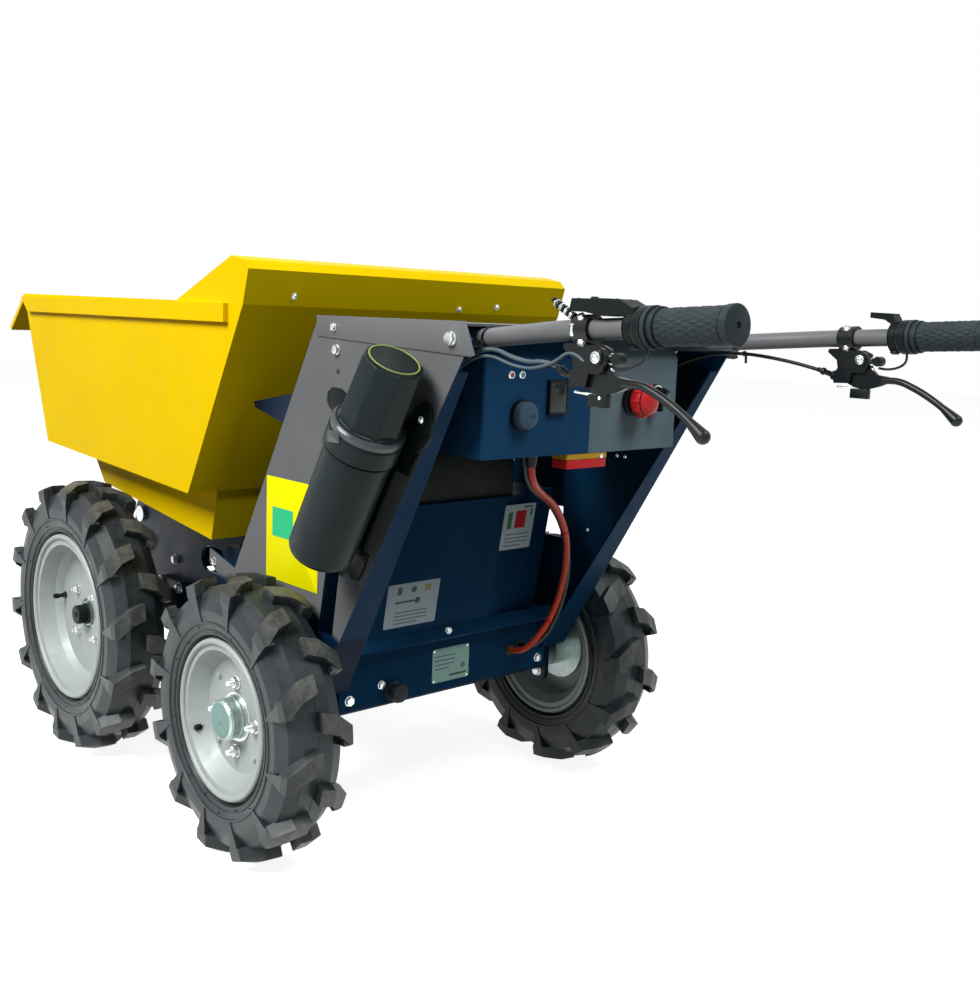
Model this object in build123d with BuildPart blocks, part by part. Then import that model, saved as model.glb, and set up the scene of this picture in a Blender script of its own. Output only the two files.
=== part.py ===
"""Walk-behind site dumper: a tipping skip on a four-wheel chassis, with a rear tower and handlebars.

Frame: millimetres, +X forward (towards the skip), +Y to the operator's left, +Z up.
The origin is on the ground, under the middle of the machine's length and width.
"""

from build123d import *
import math
import os

os.makedirs("parts", exist_ok=True)

SIDES = (("left", 1), ("right", -1))

# ---------------------------------------------------------------- running gear
FRONT_AXLE_X = 461
REAR_AXLE_X = -70
WHEEL_Y = 312                  # middle plane of every tyre
RIM_HALF = 33                  # half the width between the rim flanges
RIM_WALL = 4
FLANGE_ROLL_R = 4.5            # rolled outer edge of a rim flange
SPINDLE_R = 12.4
BORE_R = 12.45
SHOULDER_Y = 268               # where an axle beam steps down to its spindle
SPINDLE_END = 330              # of the rear axle
FRONT_SPINDLE_END = 308

# axle name: axle x, rolling radius, bead seat radius, rim flange radius, disc offset outboard,
# radius of the disc's hole, lugs in each row of a tyre, angle of the first outboard lug (degrees)
WHEELS = {
    "front": (FRONT_AXLE_X, 231, 127, 141.5, -4, 26, 14, -173),
    "rear": (REAR_AXLE_X, 200, 101.6, 114, 8, 34, 12, -159),
}
CARCASS_HALF = 47              # half width of a tyre at its bulge, without lugs
LUG_HALF = 51                  # half width over the lugs
LUG_HEIGHT = 15
FIN_DEPTH = 62                 # how far a lug's fin runs down the sidewall

# ---------------------------------------------------------------- chassis
RAIL_OUTER = 143               # outer face of each chassis side plate
RAIL_T = 6
RAIL_INNER = RAIL_OUTER - RAIL_T
DECK_Z = 296                   # top of the side plates under the tower
SADDLE_Z = 228                 # underside of the side plates over the rear axle
REST_BEAM_Z = 390              # top of the beam that the skip rests on
AXLE_TUBE_R = 25
HINGE_X = 600
HINGE_Z = 372
HINGE_PIN_R = 10
LOBE_R = 30
EYE_R = 24
CLEARANCE = 0.05               # radial clearance of a pin in a turning eye
GUSSET_Y = 125                 # middle of each skip hinge gusset
GUSSET_T = 12

# ---------------------------------------------------------------- tower
PLATE_Y = 248                  # outer face of each side plate
PLATE_T = 3
TOWER_TOP = 757
TOWER_BOTTOM = 232
FLANGE_TOP = 700               # the inward rear flange narrows from the bottom to the top
FLANGE_WIDE = 56
FLANGE_NARROW = 18
SKIRT_X = -145
SKIRT_HALF = 205
SKIRT_BOTTOM = 200
SKIRT_CREASE = 278
DASH_X = -405
DASH_HALF = 184
DASH_BOTTOM = 592

# ---------------------------------------------------------------- skip
SKIP_T = 3
SKIP_HALF = 304                # outside of the upper hopper
BELLY_HALF = 250               # outside of the lower box, between the wheels
RIM_Z = 771
SHELF_REAR = (113, 489)
SHELF_FRONT = (646, 513)
SHELF_SKEW = 0.14              # the sheet's edge is square to its slope
BELLY_REAR = (140, 409)
BELLY_FRONT = (528, 449)
BELLY_TOP_REAR_X = 122
BELLY_TOP_FRONT_X = 581
HEM_DEPTH = 26
HEM_PROUD = 8
HEM_END_X = 712
LIP_T = 8

# ---------------------------------------------------------------- handlebars
TUBE_R = 11
TUBE_WALL = 2
BAR_START = (-160, 213, 729)
BAR_BEND_1 = (-440, 213, 741)
BAR_BEND_2 = (-600, 250, 754)
BAR_END = (-816, 250, 766)
BAR_BEND_R = 180
GRIP_LENGTH = 98
LEVER_R = 4.4
BALL_R = 7.5
CABLE_R = 2.5
CONDUIT_R = 5
SIGNAL_R = 4

# ---------------------------------------------------------------- document canister
CANISTER_R = 43
CANISTER_BOTTOM = (-226, 297.5, 455)
CANISTER_LEAN = (-0.5, 0, 0.866)
CANISTER_LENGTH = 296
CAP_START = 208


def write(builder, label):
    """Label a finished piece and write its STEP file."""
    builder.part.label = label
    export_step(builder.part, f"parts/{label}.step")


def shelf_z(x):
    """Height of the skip's underside shelf over the wheels."""
    (x0, z0), (x1, z1) = SHELF_REAR, SHELF_FRONT
    return z0 + (z1 - z0) * (x - x0) / (x1 - x0)


def belly_z(x):
    """Height of the underside of the skip's floor, which rises forward."""
    (x0, z0), (x1, z1) = BELLY_REAR, BELLY_FRONT
    return z0 + (z1 - z0) * (x - x0) / (x1 - x0)


def rear_edge_x(z):
    """Place along X of a tower plate's leaning rear edge."""
    return -8.0 - 0.6 * z


def front_edge_x(z):
    """Place along X of a tower plate's leaning front edge."""
    return 284.0 - 0.563 * z


def across(y_high):
    """Plane across the machine: extruding from it by an amount goes down from y_high."""
    return Plane.XZ.offset(-y_high)


def outline_slab(points, y_low, y_high):
    """Give an outline in the X-Z plane thickness from y_low to y_high, in the active part."""
    with BuildSketch(across(y_high)) as outline:
        with BuildLine():
            Polyline(*points, close=True)
        make_face()
    extrude(outline.sketch, amount=y_high - y_low)


def folded_sheet(points, thickness, half_width, side):
    """Add a sheet bent along an X-Z polyline, running across the machine, to the active part."""
    with BuildSketch(Plane.XZ) as section:
        with BuildLine():
            Polyline(*points)
            offset(amount=thickness, side=side)
        make_face()
    extrude(section.sketch, amount=half_width, both=True)


def mirrored(point, s):
    """The same point on the left (s = 1) or the right (s = -1)."""
    return (point[0], s * point[1], point[2])


def run_fillets(points):
    """Largest even arc at each corner of a cable's route, from its shorter run and its turn."""
    radii = []
    for before, corner, after in zip(points, points[1:], points[2:]):
        run_in = Vector(*corner) - Vector(*before)
        run_out = Vector(*after) - Vector(*corner)
        half_turn = math.radians(run_in.get_angle(run_out) / 2)
        radii.append(0.45 * min(run_in.length, run_out.length) / math.tan(half_turn))
    return radii


def make_cable(points, radius):
    """Add a round cable along a route of straight runs and tangent arcs to the active part."""
    radii = run_fillets(points)
    print("cable arcs", [round(r) for r in radii])
    with BuildLine() as route:
        FilletPolyline(*points, radius=radii)
    path = route.wire()
    with BuildSketch(Plane(origin=path @ 0, z_dir=path % 0)) as section:
        Circle(radius)
    sweep(section.sketch, path=path)


# ================================================================ wheels
def wheel_plane(axle_x, radius, s):
    """Plane through a wheel's centre: local x points outboard and local y points up."""
    return Plane(origin=(axle_x, s * WHEEL_Y, radius), x_dir=(0, s, 0), z_dir=(s, 0, 0))


def make_lug(radius):
    """One hooked lug of the outboard row, on a wheel whose axle is the Z axis, at angle 0.

    The tread's centre line is at z = 0 and +Y is the way that the apex leads.
    """
    base = radius - LUG_HEIGHT - 12
    plan = ((1, 36), (24, 30), (50, 10), (58, -16), (44, -16), (24, 2), (1, 10))
    with BuildPart() as lug:
        with BuildSketch(Plane(origin=(base, 0, 0), x_dir=(0, 0, 1), z_dir=(1, 0, 0))) as bar:
            with BuildLine():
                Polyline(*((v, -u) for v, u in plan), close=True)
            make_face()
        extrude(bar.sketch, amount=radius + 4 - base)
        with BuildSketch(Plane.XY.offset(34)) as fin:
            with BuildLine():
                Polyline(
                    (radius - 8, 10), (radius - 8, -16), (radius - FIN_DEPTH, -12), (radius - FIN_DEPTH, -8),
                    (radius - 30, 4), close=True,
                )
            make_face()
        extrude(fin.sketch, amount=LUG_HALF - 32)
        # the crown and flank that trim every lug, as a ring about the axle
        with BuildSketch(Plane.XZ) as envelope:
            with BuildLine():
                Polyline(
                    (radius, 0), (radius - 1.5, 26), (radius - 9, LUG_HALF - 1), (radius - 22, LUG_HALF),
                    (radius - FIN_DEPTH, CARCASS_HALF + 0.5), (radius - FIN_DEPTH, 20), (base, 20), (base, 0),
                    close=True,
                )
            make_face()
        revolve(envelope.sketch, axis=Axis.Z, mode=Mode.INTERSECT)
    return lug.part


def make_tyre(plane, axle_plane, radius, seat_r, flange_r, lug_count, first_angle):
    """Left-hand tyre: a carcass with beads on the rim and two staggered rows of lugs."""
    crown_r = radius - LUG_HEIGHT
    bulge_r = radius - 46
    bead_r = flange_r + 6
    with BuildPart(axle_plane) as tyre:
        with BuildSketch(plane) as section:
            with BuildLine():
                Polyline(
                    (-RIM_HALF, flange_r + 1.5), (-RIM_HALF, seat_r), (RIM_HALF, seat_r),
                    (RIM_HALF, flange_r + 1.5),
                )
                Line((RIM_HALF, flange_r + 1.5), (RIM_HALF + 7, bead_r))
                ThreePointArc(
                    (RIM_HALF + 7, bead_r), (CARCASS_HALF - 0.5, (bead_r + bulge_r) / 2 + 6),
                    (CARCASS_HALF, bulge_r),
                )
                Polyline(
                    (CARCASS_HALF, bulge_r), (40, crown_r - 9), (22, crown_r), (-22, crown_r),
                    (-40, crown_r - 9), (-CARCASS_HALF, bulge_r),
                )
                ThreePointArc(
                    (-CARCASS_HALF, bulge_r), (0.5 - CARCASS_HALF, (bead_r + bulge_r) / 2 + 6),
                    (-RIM_HALF - 7, bead_r),
                )
                Line((-RIM_HALF - 7, bead_r), (-RIM_HALF, flange_r + 1.5))
            make_face()
        revolve(section.sketch, axis=Axis(plane.origin, plane.x_dir))
        outboard = make_lug(radius)
        inboard = outboard.mirror(Plane.XY)
        with PolarLocations(0, lug_count, start_angle=first_angle):
            add(outboard)
        with PolarLocations(0, lug_count, start_angle=first_angle + 180 / lug_count):
            add(inboard)
    return tyre


def make_rim(label, plane, seat_r, flange_r, disc_x, hole_r):
    """Wheel rim: rolled flanges, bead seats, a dropped well and a flat disc."""
    well_r = seat_r - 13
    disc_r = well_r - 8
    with BuildPart() as rim:
        with BuildSketch(plane) as section:
            with BuildLine():
                Polyline(
                    (RIM_HALF + RIM_WALL, flange_r - 4), (RIM_HALF + RIM_WALL, seat_r - RIM_WALL),
                    (disc_x + 16, well_r), (disc_x + RIM_WALL, disc_r), (disc_x + RIM_WALL, hole_r),
                    (disc_x, hole_r), (disc_x, well_r - 4), (-RIM_HALF + 10, well_r - 4),
                    (-RIM_HALF - RIM_WALL, seat_r - RIM_WALL),
                    (-RIM_HALF - RIM_WALL, flange_r - 4), (-RIM_HALF, flange_r - 4), (-RIM_HALF, seat_r),
                    (RIM_HALF, seat_r), (RIM_HALF, flange_r - 4), close=True,
                )
            make_face()
            with Locations((RIM_HALF + 0.1 + FLANGE_ROLL_R, flange_r - FLANGE_ROLL_R)):
                Circle(FLANGE_ROLL_R)
            with Locations((-RIM_HALF - 0.1 - FLANGE_ROLL_R, flange_r - FLANGE_ROLL_R)):
                Circle(FLANGE_ROLL_R)
        revolve(section.sketch, axis=Axis(plane.origin, plane.x_dir))
    write(rim, label)


def make_rear_hub(label, plane):
    """Plain wheel hub: a flange against the disc and a stepped barrel with a closed end."""
    disc_x = WHEELS["rear"][4]
    with BuildPart() as hub:
        with BuildSketch(plane) as section:
            with BuildLine():
                Polyline(
                    (-34, BORE_R), (-34, 32), (disc_x - 8, 32), (disc_x - 8, 58), (disc_x, 58), (disc_x, 31),
                    (disc_x + 11, 31), (disc_x + 11, 29.5), (disc_x + 14, 29.5), (disc_x + 14, 28.5),
                    (disc_x + 28, 28.5), (disc_x + 31, 26), (disc_x + 31, 0),
                    (SPINDLE_END - WHEEL_Y + 2, 0), (SPINDLE_END - WHEEL_Y + 2, BORE_R), close=True,
                )
            make_face()
        revolve(section.sketch, axis=Axis(plane.origin, plane.x_dir))
    write(hub, label)


def make_front_hub(label, plane):
    """Driven wheel hub: a drive flange against the disc and a small capped boss."""
    disc_x = WHEELS["front"][4]
    with BuildPart() as hub:
        with BuildSketch(plane) as section:
            with BuildLine():
                Polyline(
                    (-38, BORE_R), (-38, 34), (disc_x - 10, 34), (disc_x - 10, 60), (disc_x, 60),
                    (disc_x, 21), (disc_x + 6, 21), (disc_x + 6, 17), (disc_x + 8, 17), (disc_x + 8, 13),
                    (20, 13), (21, 12), (21, 0), (FRONT_SPINDLE_END - WHEEL_Y + 2, 0),
                    (FRONT_SPINDLE_END - WHEEL_Y + 2, BORE_R), close=True,
                )
            make_face()
        revolve(section.sketch, axis=Axis(plane.origin, plane.x_dir))
    write(hub, label)


for axle, (axle_x, radius, seat_r, flange_r, disc_x, hole_r, lug_count, first_angle) in WHEELS.items():
    axle_plane = Plane(origin=(axle_x, WHEEL_Y, radius), x_dir=(1, 0, 0), z_dir=(0, 1, 0))
    left_plane = wheel_plane(axle_x, radius, 1)
    left_tyre = make_tyre(left_plane, axle_plane, radius, seat_r, flange_r, lug_count, first_angle)
    with BuildPart() as right_tyre:
        mirror(left_tyre.part, about=Plane.XZ)
    write(left_tyre, f"tyre_{axle}_left")
    write(right_tyre, f"tyre_{axle}_right")
    for side, s in SIDES:
        plane = wheel_plane(axle_x, radius, s)
        make_rim(f"rim_{axle}_{side}", plane, seat_r, flange_r, disc_x, hole_r)
        if axle == "front":
            make_front_hub(f"hub_{axle}_{side}", plane)
        else:
            make_rear_hub(f"hub_{axle}_{side}", plane)

# ================================================================ chassis
front_axle_z = WHEELS["front"][1]
rear_axle_z = WHEELS["rear"][1]
rail_outline = (
    (SKIRT_X + 3, 205), (SKIRT_X + 3, SKIRT_CREASE - 3), (-122, DECK_Z), (100, DECK_Z), (124, 398),
    (HINGE_X, 398), (HINGE_X, HINGE_Z), (HINGE_X + LOBE_R, HINGE_Z), (645, 300), (645, 250), (560, 186),
    (400, 172), (40, 172), (-20, 190),
    (REAR_AXLE_X + 28, SADDLE_Z), (REAR_AXLE_X - 28, SADDLE_Z), (REAR_AXLE_X - 28, 205),
)
for side, s in SIDES:
    with BuildPart() as rail:
        y_low, y_high = sorted((s * RAIL_OUTER, s * RAIL_INNER))
        with BuildSketch(across(y_high)) as outline:
            with BuildLine():
                Polyline(*rail_outline, close=True)
            make_face()
            with Locations((HINGE_X, HINGE_Z)):
                Circle(LOBE_R)
                Circle(HINGE_PIN_R + CLEARANCE, mode=Mode.SUBTRACT)
            with Locations((FRONT_AXLE_X, front_axle_z)):
                Circle(AXLE_TUBE_R + CLEARANCE, mode=Mode.SUBTRACT)
            with Locations((225, 330), (330, 330)):
                SlotOverall(84, 46, mode=Mode.SUBTRACT)
        extrude(outline.sketch, amount=RAIL_T)
    write(rail, f"chassis_rail_{side}")

with BuildPart() as cross:
    with Locations((610, 0, 276)):
        Box(50, 2 * RAIL_INNER, 40)
    with Locations((150, 0, REST_BEAM_Z - 20)):
        Box(44, 2 * RAIL_INNER, 40)
    with Locations((-110, 0, 262)):
        Box(30, 2 * RAIL_INNER, 40)
    for side, s in SIDES:
        outline_slab(
            ((128, REST_BEAM_Z), (172, REST_BEAM_Z), (172, REST_BEAM_Z - 40), (128, REST_BEAM_Z - 40)),
            *sorted((s * RAIL_OUTER, s * SKIRT_HALF)),
        )
write(cross, "crossmembers")

with BuildPart() as front_axle:
    with BuildSketch(across(0)) as tube:
        with Locations((FRONT_AXLE_X, front_axle_z)):
            Circle(AXLE_TUBE_R)
    extrude(tube.sketch, amount=SHOULDER_Y - 14, both=True)
    with Locations((FRONT_AXLE_X, 0, front_axle_z)):
        Cylinder(SPINDLE_R, 2 * FRONT_SPINDLE_END, rotation=(90, 0, 0))
        Cylinder(66, 84, rotation=(90, 0, 0))
        Cylinder(46, 132, rotation=(90, 0, 0))
    fillet(front_axle.edges().filter_by(GeomType.CIRCLE).filter_by(lambda e: abs(e.radius - 66) < 0.1), 10)
write(front_axle, "front_axle")

with BuildPart() as motor:
    with Locations((314, 0, 222)):
        Box(156, 112, 96)
    chamfer(motor.edges().filter_by(Axis.X), 16)
write(motor, "drive_motor")

with BuildPart() as rear_axle:
    with Locations((REAR_AXLE_X, 0, rear_axle_z)):
        Box(50, 2 * 236, 50)
        Cylinder(SPINDLE_R, 2 * SPINDLE_END, rotation=(90, 0, 0))
        Cylinder(22, 2 * (SHOULDER_Y - 14), rotation=(90, 0, 0))
    for side, s in SIDES:
        with BuildSketch(across(max(s * 236, s * 244))) as knuckle:
            with Locations((REAR_AXLE_X, rear_axle_z + 14)):
                RectangleRounded(96, 116, 18)
        extrude(knuckle.sketch, amount=8)
write(rear_axle, "rear_axle")

with BuildPart() as saddles:
    for side, s in SIDES:
        with Locations((REAR_AXLE_X, s * (RAIL_OUTER - 20), (rear_axle_z + 25 + SADDLE_Z) / 2)):
            Box(54, 60, SADDLE_Z - rear_axle_z - 25)
        with BuildSketch(across(max(s * RAIL_OUTER, s * (RAIL_OUTER + 14)))) as collar:
            with Locations((FRONT_AXLE_X, front_axle_z)):
                RectangleRounded(100, 84, 14)
                Circle(AXLE_TUBE_R + CLEARANCE, mode=Mode.SUBTRACT)
        extrude(collar.sketch, amount=14)
write(saddles, "axle_saddles")

with BuildPart() as brackets:
    for side, s in SIDES:
        with BuildSketch(across(max(s * 103, s * 111))) as ear:
            with Locations((HINGE_X, (HINGE_Z + DECK_Z) / 2)):
                Rectangle(48, HINGE_Z - DECK_Z)
            with Locations((HINGE_X, HINGE_Z)):
                Circle(EYE_R)
                Circle(HINGE_PIN_R, mode=Mode.SUBTRACT)
        extrude(ear.sketch, amount=8)
write(brackets, "frame_brackets")

with BuildPart() as pins:
    for side, s in SIDES:
        for r, y_in, y_out in ((HINGE_PIN_R, 97, 150), (15, RAIL_OUTER + 0.5, 150)):
            with BuildSketch(across(max(s * y_in, s * y_out))) as disc:
                with Locations((HINGE_X, HINGE_Z)):
                    Circle(r)
            extrude(disc.sketch, amount=y_out - y_in)
write(pins, "hinge_pins")

with BuildPart() as buffers:
    for side, s in SIDES:
        with BuildSketch(Plane.XY.offset(REST_BEAM_Z)) as foot:
            with Locations((158, s * 174)):
                Circle(14)
        extrude(foot.sketch, amount=belly_z(144) - 0.5 - REST_BEAM_Z)
write(buffers, "rest_buffers")

# ================================================================ tower
plate_outline = (
    (rear_edge_x(TOWER_TOP - 18), TOWER_TOP - 18), (rear_edge_x(TOWER_TOP - 18) + 18, TOWER_TOP),
    (front_edge_x(TOWER_TOP), TOWER_TOP), (front_edge_x(376), 376), (148, 394), (150, 374), (88, 340),
    (88, TOWER_BOTTOM), (rear_edge_x(TOWER_BOTTOM), TOWER_BOTTOM),
)
edge_dir = Vector(rear_edge_x(1) - rear_edge_x(0), 0, 1).normalized()
edge_length = (FLANGE_TOP - TOWER_BOTTOM) / edge_dir.Z
for side, s in SIDES:
    with BuildPart() as plate:
        outline_slab(plate_outline, *sorted((s * PLATE_Y, s * (PLATE_Y - PLATE_T))))
        flange_plane = Plane(
            origin=(rear_edge_x(TOWER_BOTTOM), s * PLATE_Y, TOWER_BOTTOM),
            x_dir=(0, -s, 0), z_dir=(-s * edge_dir.Z, 0, s * edge_dir.X),
        )
        with BuildSketch(flange_plane) as flange:
            with BuildLine():
                Polyline((0, 0), (FLANGE_WIDE, 0), (FLANGE_NARROW, edge_length), (0, edge_length), close=True)
            make_face()
        extrude(flange.sketch, amount=-s * PLATE_T)
    write(plate, f"side_plate_{side}")

with BuildPart() as cover:
    with Locations(((rear_edge_x(740) + front_edge_x(TOWER_TOP)) / 2 + 8, 0, TOWER_TOP - 1.5)):
        Box(front_edge_x(TOWER_TOP) - rear_edge_x(740) - 16, 2 * (PLATE_Y - PLATE_T), 3)
write(cover, "top_cover")

with BuildPart() as tower_floor:
    with Locations(((-105 + 98) / 2, 0, DECK_Z + 1.5)):
        Box(98 + 105, 2 * (PLATE_Y - PLATE_T), 3)
write(tower_floor, "tower_floor")

skirt_points = ((SKIRT_X, SKIRT_BOTTOM), (SKIRT_X, SKIRT_CREASE), (-125, DECK_Z + 3), (-105, DECK_Z + 3))
with BuildPart() as skirt:
    folded_sheet(skirt_points, 3, SKIRT_HALF, Side.RIGHT)
    for side, s in SIDES:
        outline_slab(
            ((SKIRT_X + 1, SKIRT_BOTTOM), (SKIRT_X + 1, SKIRT_CREASE), (-124, DECK_Z), (-104, DECK_Z),
             (-104, 232), (SKIRT_X + 26, SKIRT_BOTTOM)),
            *sorted((s * SKIRT_HALF, s * (SKIRT_HALF - 3))),
        )
write(skirt, "skirt")

BOX_BOTTOM = DECK_Z + 3
BOX_TOP = 500
with BuildPart() as battery_box:
    for box_z, face_x, front_x in ((BOX_BOTTOM, -160, 60), (BOX_TOP, -195, -20)):
        with BuildSketch(Plane.XY.offset(box_z)):
            with BuildLine():
                Polyline(
                    (face_x, 190), (face_x, -58), (face_x + 30, -188), (front_x, -188), (front_x, 240),
                    (face_x + 46, 240), (face_x + 46, 190), close=True,
                )
            make_face()
    loft(ruled=True)
write(battery_box, "battery_box")

dash_outline = (
    (DASH_X, DASH_BOTTOM), (DASH_X, 716), (DASH_X + 24, TOWER_TOP - 12), (-300, TOWER_TOP - 3),
    (-300, DASH_BOTTOM),
)
with BuildPart() as dash:
    outline_slab(dash_outline, -DASH_HALF, DASH_HALF)
    fillet(dash.edges().filter_by(Axis.Z).sort_by(Axis.X)[:2], 4)
write(dash, "dash_box")

# panel controls: (radius, depth) steps of a turned knob at (y, z) on the panel's face
PANEL_KNOBS = (
    ((-89, 661), ((21, 5), (14, 12), (20, 14))),
    ((-136, 670), ((12, 4), (8, 12))),
    ((-129, 653), ((12, 4), (8, 12))),
    ((120, 646), ((20, 5), (17, 8))),
)
with BuildPart() as controls:
    for (knob_y, knob_z), steps in PANEL_KNOBS:
        depth = 0
        for step_r, step_depth in steps:
            with BuildSketch(Plane(origin=(DASH_X - depth, knob_y, knob_z), z_dir=(-1, 0, 0))) as disc:
                Circle(step_r)
            extrude(disc.sketch, amount=step_depth)
            depth += step_depth
    with Locations((DASH_X - 2, 59.5, 667)):
        Box(4, 34, 44)
    with Locations((DASH_X + 15, -5, DASH_BOTTOM - 9)):
        Box(26, 74, 18)
write(controls, "panel_controls")

stay_outline = ((-100, 655), (-90, 600), (22, 624), (26, 632))
with BuildPart() as stays:
    for side, s in SIDES:
        outline_slab(stay_outline, *sorted((s * (PLATE_Y - PLATE_T), s * (PLATE_Y - PLATE_T - 5))))
write(stays, "skip_stays")

# ================================================================ handlebars
bar_axis = (Vector(*BAR_END) - Vector(*BAR_BEND_2)).normalized()


def bar_plane(s, distance):
    """Plane across the handlebar's straight end, a distance in from its tip, facing its tip."""
    direction = Vector(bar_axis.X, s * bar_axis.Y, bar_axis.Z)
    origin = Vector(*mirrored(BAR_END, s)) - direction * distance
    return Plane(origin=origin, x_dir=(0, 1, 0), z_dir=direction)


def bar_rings(s, start, rings):
    """Add rings round the bar: (length, outer radius) steps outward from a distance in from the tip."""
    for length, ring_r in rings:
        with BuildSketch(bar_plane(s, start)) as ring:
            Circle(ring_r)
            Circle(TUBE_R + 0.02, mode=Mode.SUBTRACT)
        extrude(ring.sketch, amount=length)
        start -= length


for side, s in SIDES:
    route = [mirrored(p, s) for p in (BAR_START, BAR_BEND_1, BAR_BEND_2, BAR_END)]
    with BuildPart() as bar:
        with BuildLine():
            path = FilletPolyline(*route, radius=BAR_BEND_R)
        with BuildSketch(Plane(origin=path @ 0, z_dir=path % 0)):
            Circle(TUBE_R)
            Circle(TUBE_R - TUBE_WALL, mode=Mode.SUBTRACT)
        sweep()
    write(bar, f"handlebar_{side}")

with BuildPart() as grips:
    for side, s in SIDES:
        bar_rings(s, GRIP_LENGTH, ((5, 21.5), (4, 18.5), (4, 20), (77, 17.5), (8, 19.5)))
write(grips, "grips")

with BuildPart() as clamps:
    for side, s in SIDES:
        for share in (0.14, 0.86):
            centre = Vector(*mirrored(BAR_START, s)) * (1 - share) + Vector(*mirrored(BAR_BEND_1, s)) * share
            with Locations((centre.X, s * 229.5, centre.Z)):
                Box(28, 31, 24)
            across_bar = Plane(origin=centre, z_dir=Vector(*BAR_BEND_1) - Vector(*BAR_START))
            with BuildSketch(across_bar) as bore:
                Circle(TUBE_R + 0.02)
            extrude(bore.sketch, amount=30, both=True, mode=Mode.SUBTRACT)
write(clamps, "bar_clamps")

# perch under each bar: a clamp ring, and an arm down to the lever's pivot and the cable's barrel
PIVOT = (-654, 729)
perch_outline = (
    (-606, 737), (-608, 743), (-612, 746), (-630, 747), (-634, 741), (-652, 741), (-662, 737), (-666, 728),
    (-663, 716), (-657, 712), (-643, 712), (-640, 698), (-618, 697), (-617, 700), (-617, 709), (-622, 717),
    (-620, 727),
)
with BuildPart() as perches:
    outline_slab(perch_outline, 250 - 8, 250 + 8)
    with BuildSketch(across(250 + 3.2)) as slot:
        with Locations(PIVOT):
            Circle(13)
        with BuildLine():
            Polyline((-670, 690), (-670, 730), (-641, 730), (-636, 716), (-626, 712), (-626, 690), close=True)
        make_face()
    extrude(slot.sketch, amount=6.4, mode=Mode.SUBTRACT)
    with BuildSketch(bar_plane(1, 214)) as bore:
        Circle(15.4)
    extrude(bore.sketch, amount=44, mode=Mode.SUBTRACT)
    bar_rings(1, 195, ((22, 15.5),))
    mirror(about=Plane.XZ)
write(perches, "brake_perches")

# lever: a flat root round the pivot, then a round blade that ends in a ball
LEVER_ROUTE = ((-684, 704), (-706, 705), (-735, 694), (-762, 679), (-785, 662))
lever_root = (
    (-630, 707), (-632, 699), (-645, 693), (-661, 690.5), (-680, 696), (-692, 701), (-692, 709), (-676, 711),
    (-668, 718), (-664, 732), (-655, 739), (-645, 734), (-644, 722), (-640, 711),
)
BALL_NECK = 24                 # length of the taper from the blade to the ball
with BuildPart() as levers:
    outline_slab(lever_root, 250 - 2.8, 250 + 2.8)
    lever_points = [(x, 250, z) for x, z in LEVER_ROUTE]
    with BuildLine() as blade:
        FilletPolyline(*lever_points, radius=run_fillets(lever_points))
    blade_path = blade.wire()
    with BuildSketch(Plane(origin=blade_path @ 0, z_dir=blade_path % 0)) as section:
        Circle(LEVER_R)
    sweep(section.sketch, path=blade_path)
    with BuildSketch(Plane(origin=blade_path @ 1, x_dir=blade_path % 1, z_dir=(0, 1, 0))) as half_ball:
        with BuildLine():
            Polyline((0, BALL_R), (-BALL_NECK, LEVER_R - 0.05), (-BALL_NECK, 0), (BALL_R, 0))
            RadiusArc((BALL_R, 0), (0, BALL_R), -BALL_R)
        make_face()
    revolve(half_ball.sketch, axis=Axis(blade_path @ 1, blade_path % 1))
    mirror(about=Plane.XZ)
write(levers, "brake_levers")

with BuildPart() as bar_controls:
    for side, s in SIDES:
        bar_rings(s, GRIP_LENGTH + 24, ((10, 19.5), (4, 17), (9, 21.5)))
    # left: flat display box over the bar
    outline_slab(
        ((-618, 774), (-621, 787), (-684, 787), (-702, 779), (-704, 773), (-662, 770), (-640, 773.5)),
        236, 264,
    )
    # right: hooked throttle lever over the bar
    outline_slab(((-664, 783), (-664, 790), (-694, 789), (-702, 776), (-700, 772), (-684, 781)), -258, -240)
write(bar_controls, "bar_controls")

# ================================================================ cables
RIGHT_CABLE = (
    (-616, -250, 706), (-598, -249, 711), (-560, -247, 719), (-520, -244, 725), (-478, -238, 729),
    (-436, -231, 727), (-396, -224, 717), (-362, -216, 700), (-340, -208, 676),
)
LEFT_CABLE = (
    (-616, 250, 706), (-598, 249, 714), (-568, 246, 721), (-540, 240, 718), (-506, 235, 722),
    (-474, 230, 730), (-440, 224, 727), (-404, 218, 714), (-372, 212, 694), (-350, 206, 668),
)
with BuildPart() as brake_cables:
    make_cable(RIGHT_CABLE, CABLE_R)
    make_cable(LEFT_CABLE, CABLE_R)
write(brake_cables, "brake_cables")

CONDUIT = (
    (-355, 50, DASH_BOTTOM), (-355, 50, 574), (-344, 36, 550), (-324, 2, 530), (-300, -52, 506),
    (-280, -92, 476), (-256, -130, 438), (-232, -156, 394), (-214, -166, 348), (-204, -160, 306),
    (-192, -142, 268), (-172, -124, 240), (SKIRT_X, -124, 240),
)
with BuildPart() as power_conduit:
    make_cable(CONDUIT, CONDUIT_R)
write(power_conduit, "power_conduit")

# black cable that runs down beside the conduit
SIGNAL_CABLE = (
    (-343, 50, DASH_BOTTOM), (-343, 50, 573), (-332, 34, 548), (-312, -1, 527), (-288, -55, 505),
    (-268, -96, 477), (-245, -137, 438), (-226, -168, 393), (-211, -179, 346), (-200, -175, 300),
    (-188, -160, 263), (-170, -144, 245), (SKIRT_X, -144, 245),
)
with BuildPart() as signal_cable:
    make_cable(SIGNAL_CABLE, SIGNAL_R)
write(signal_cable, "signal_cable")

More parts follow.
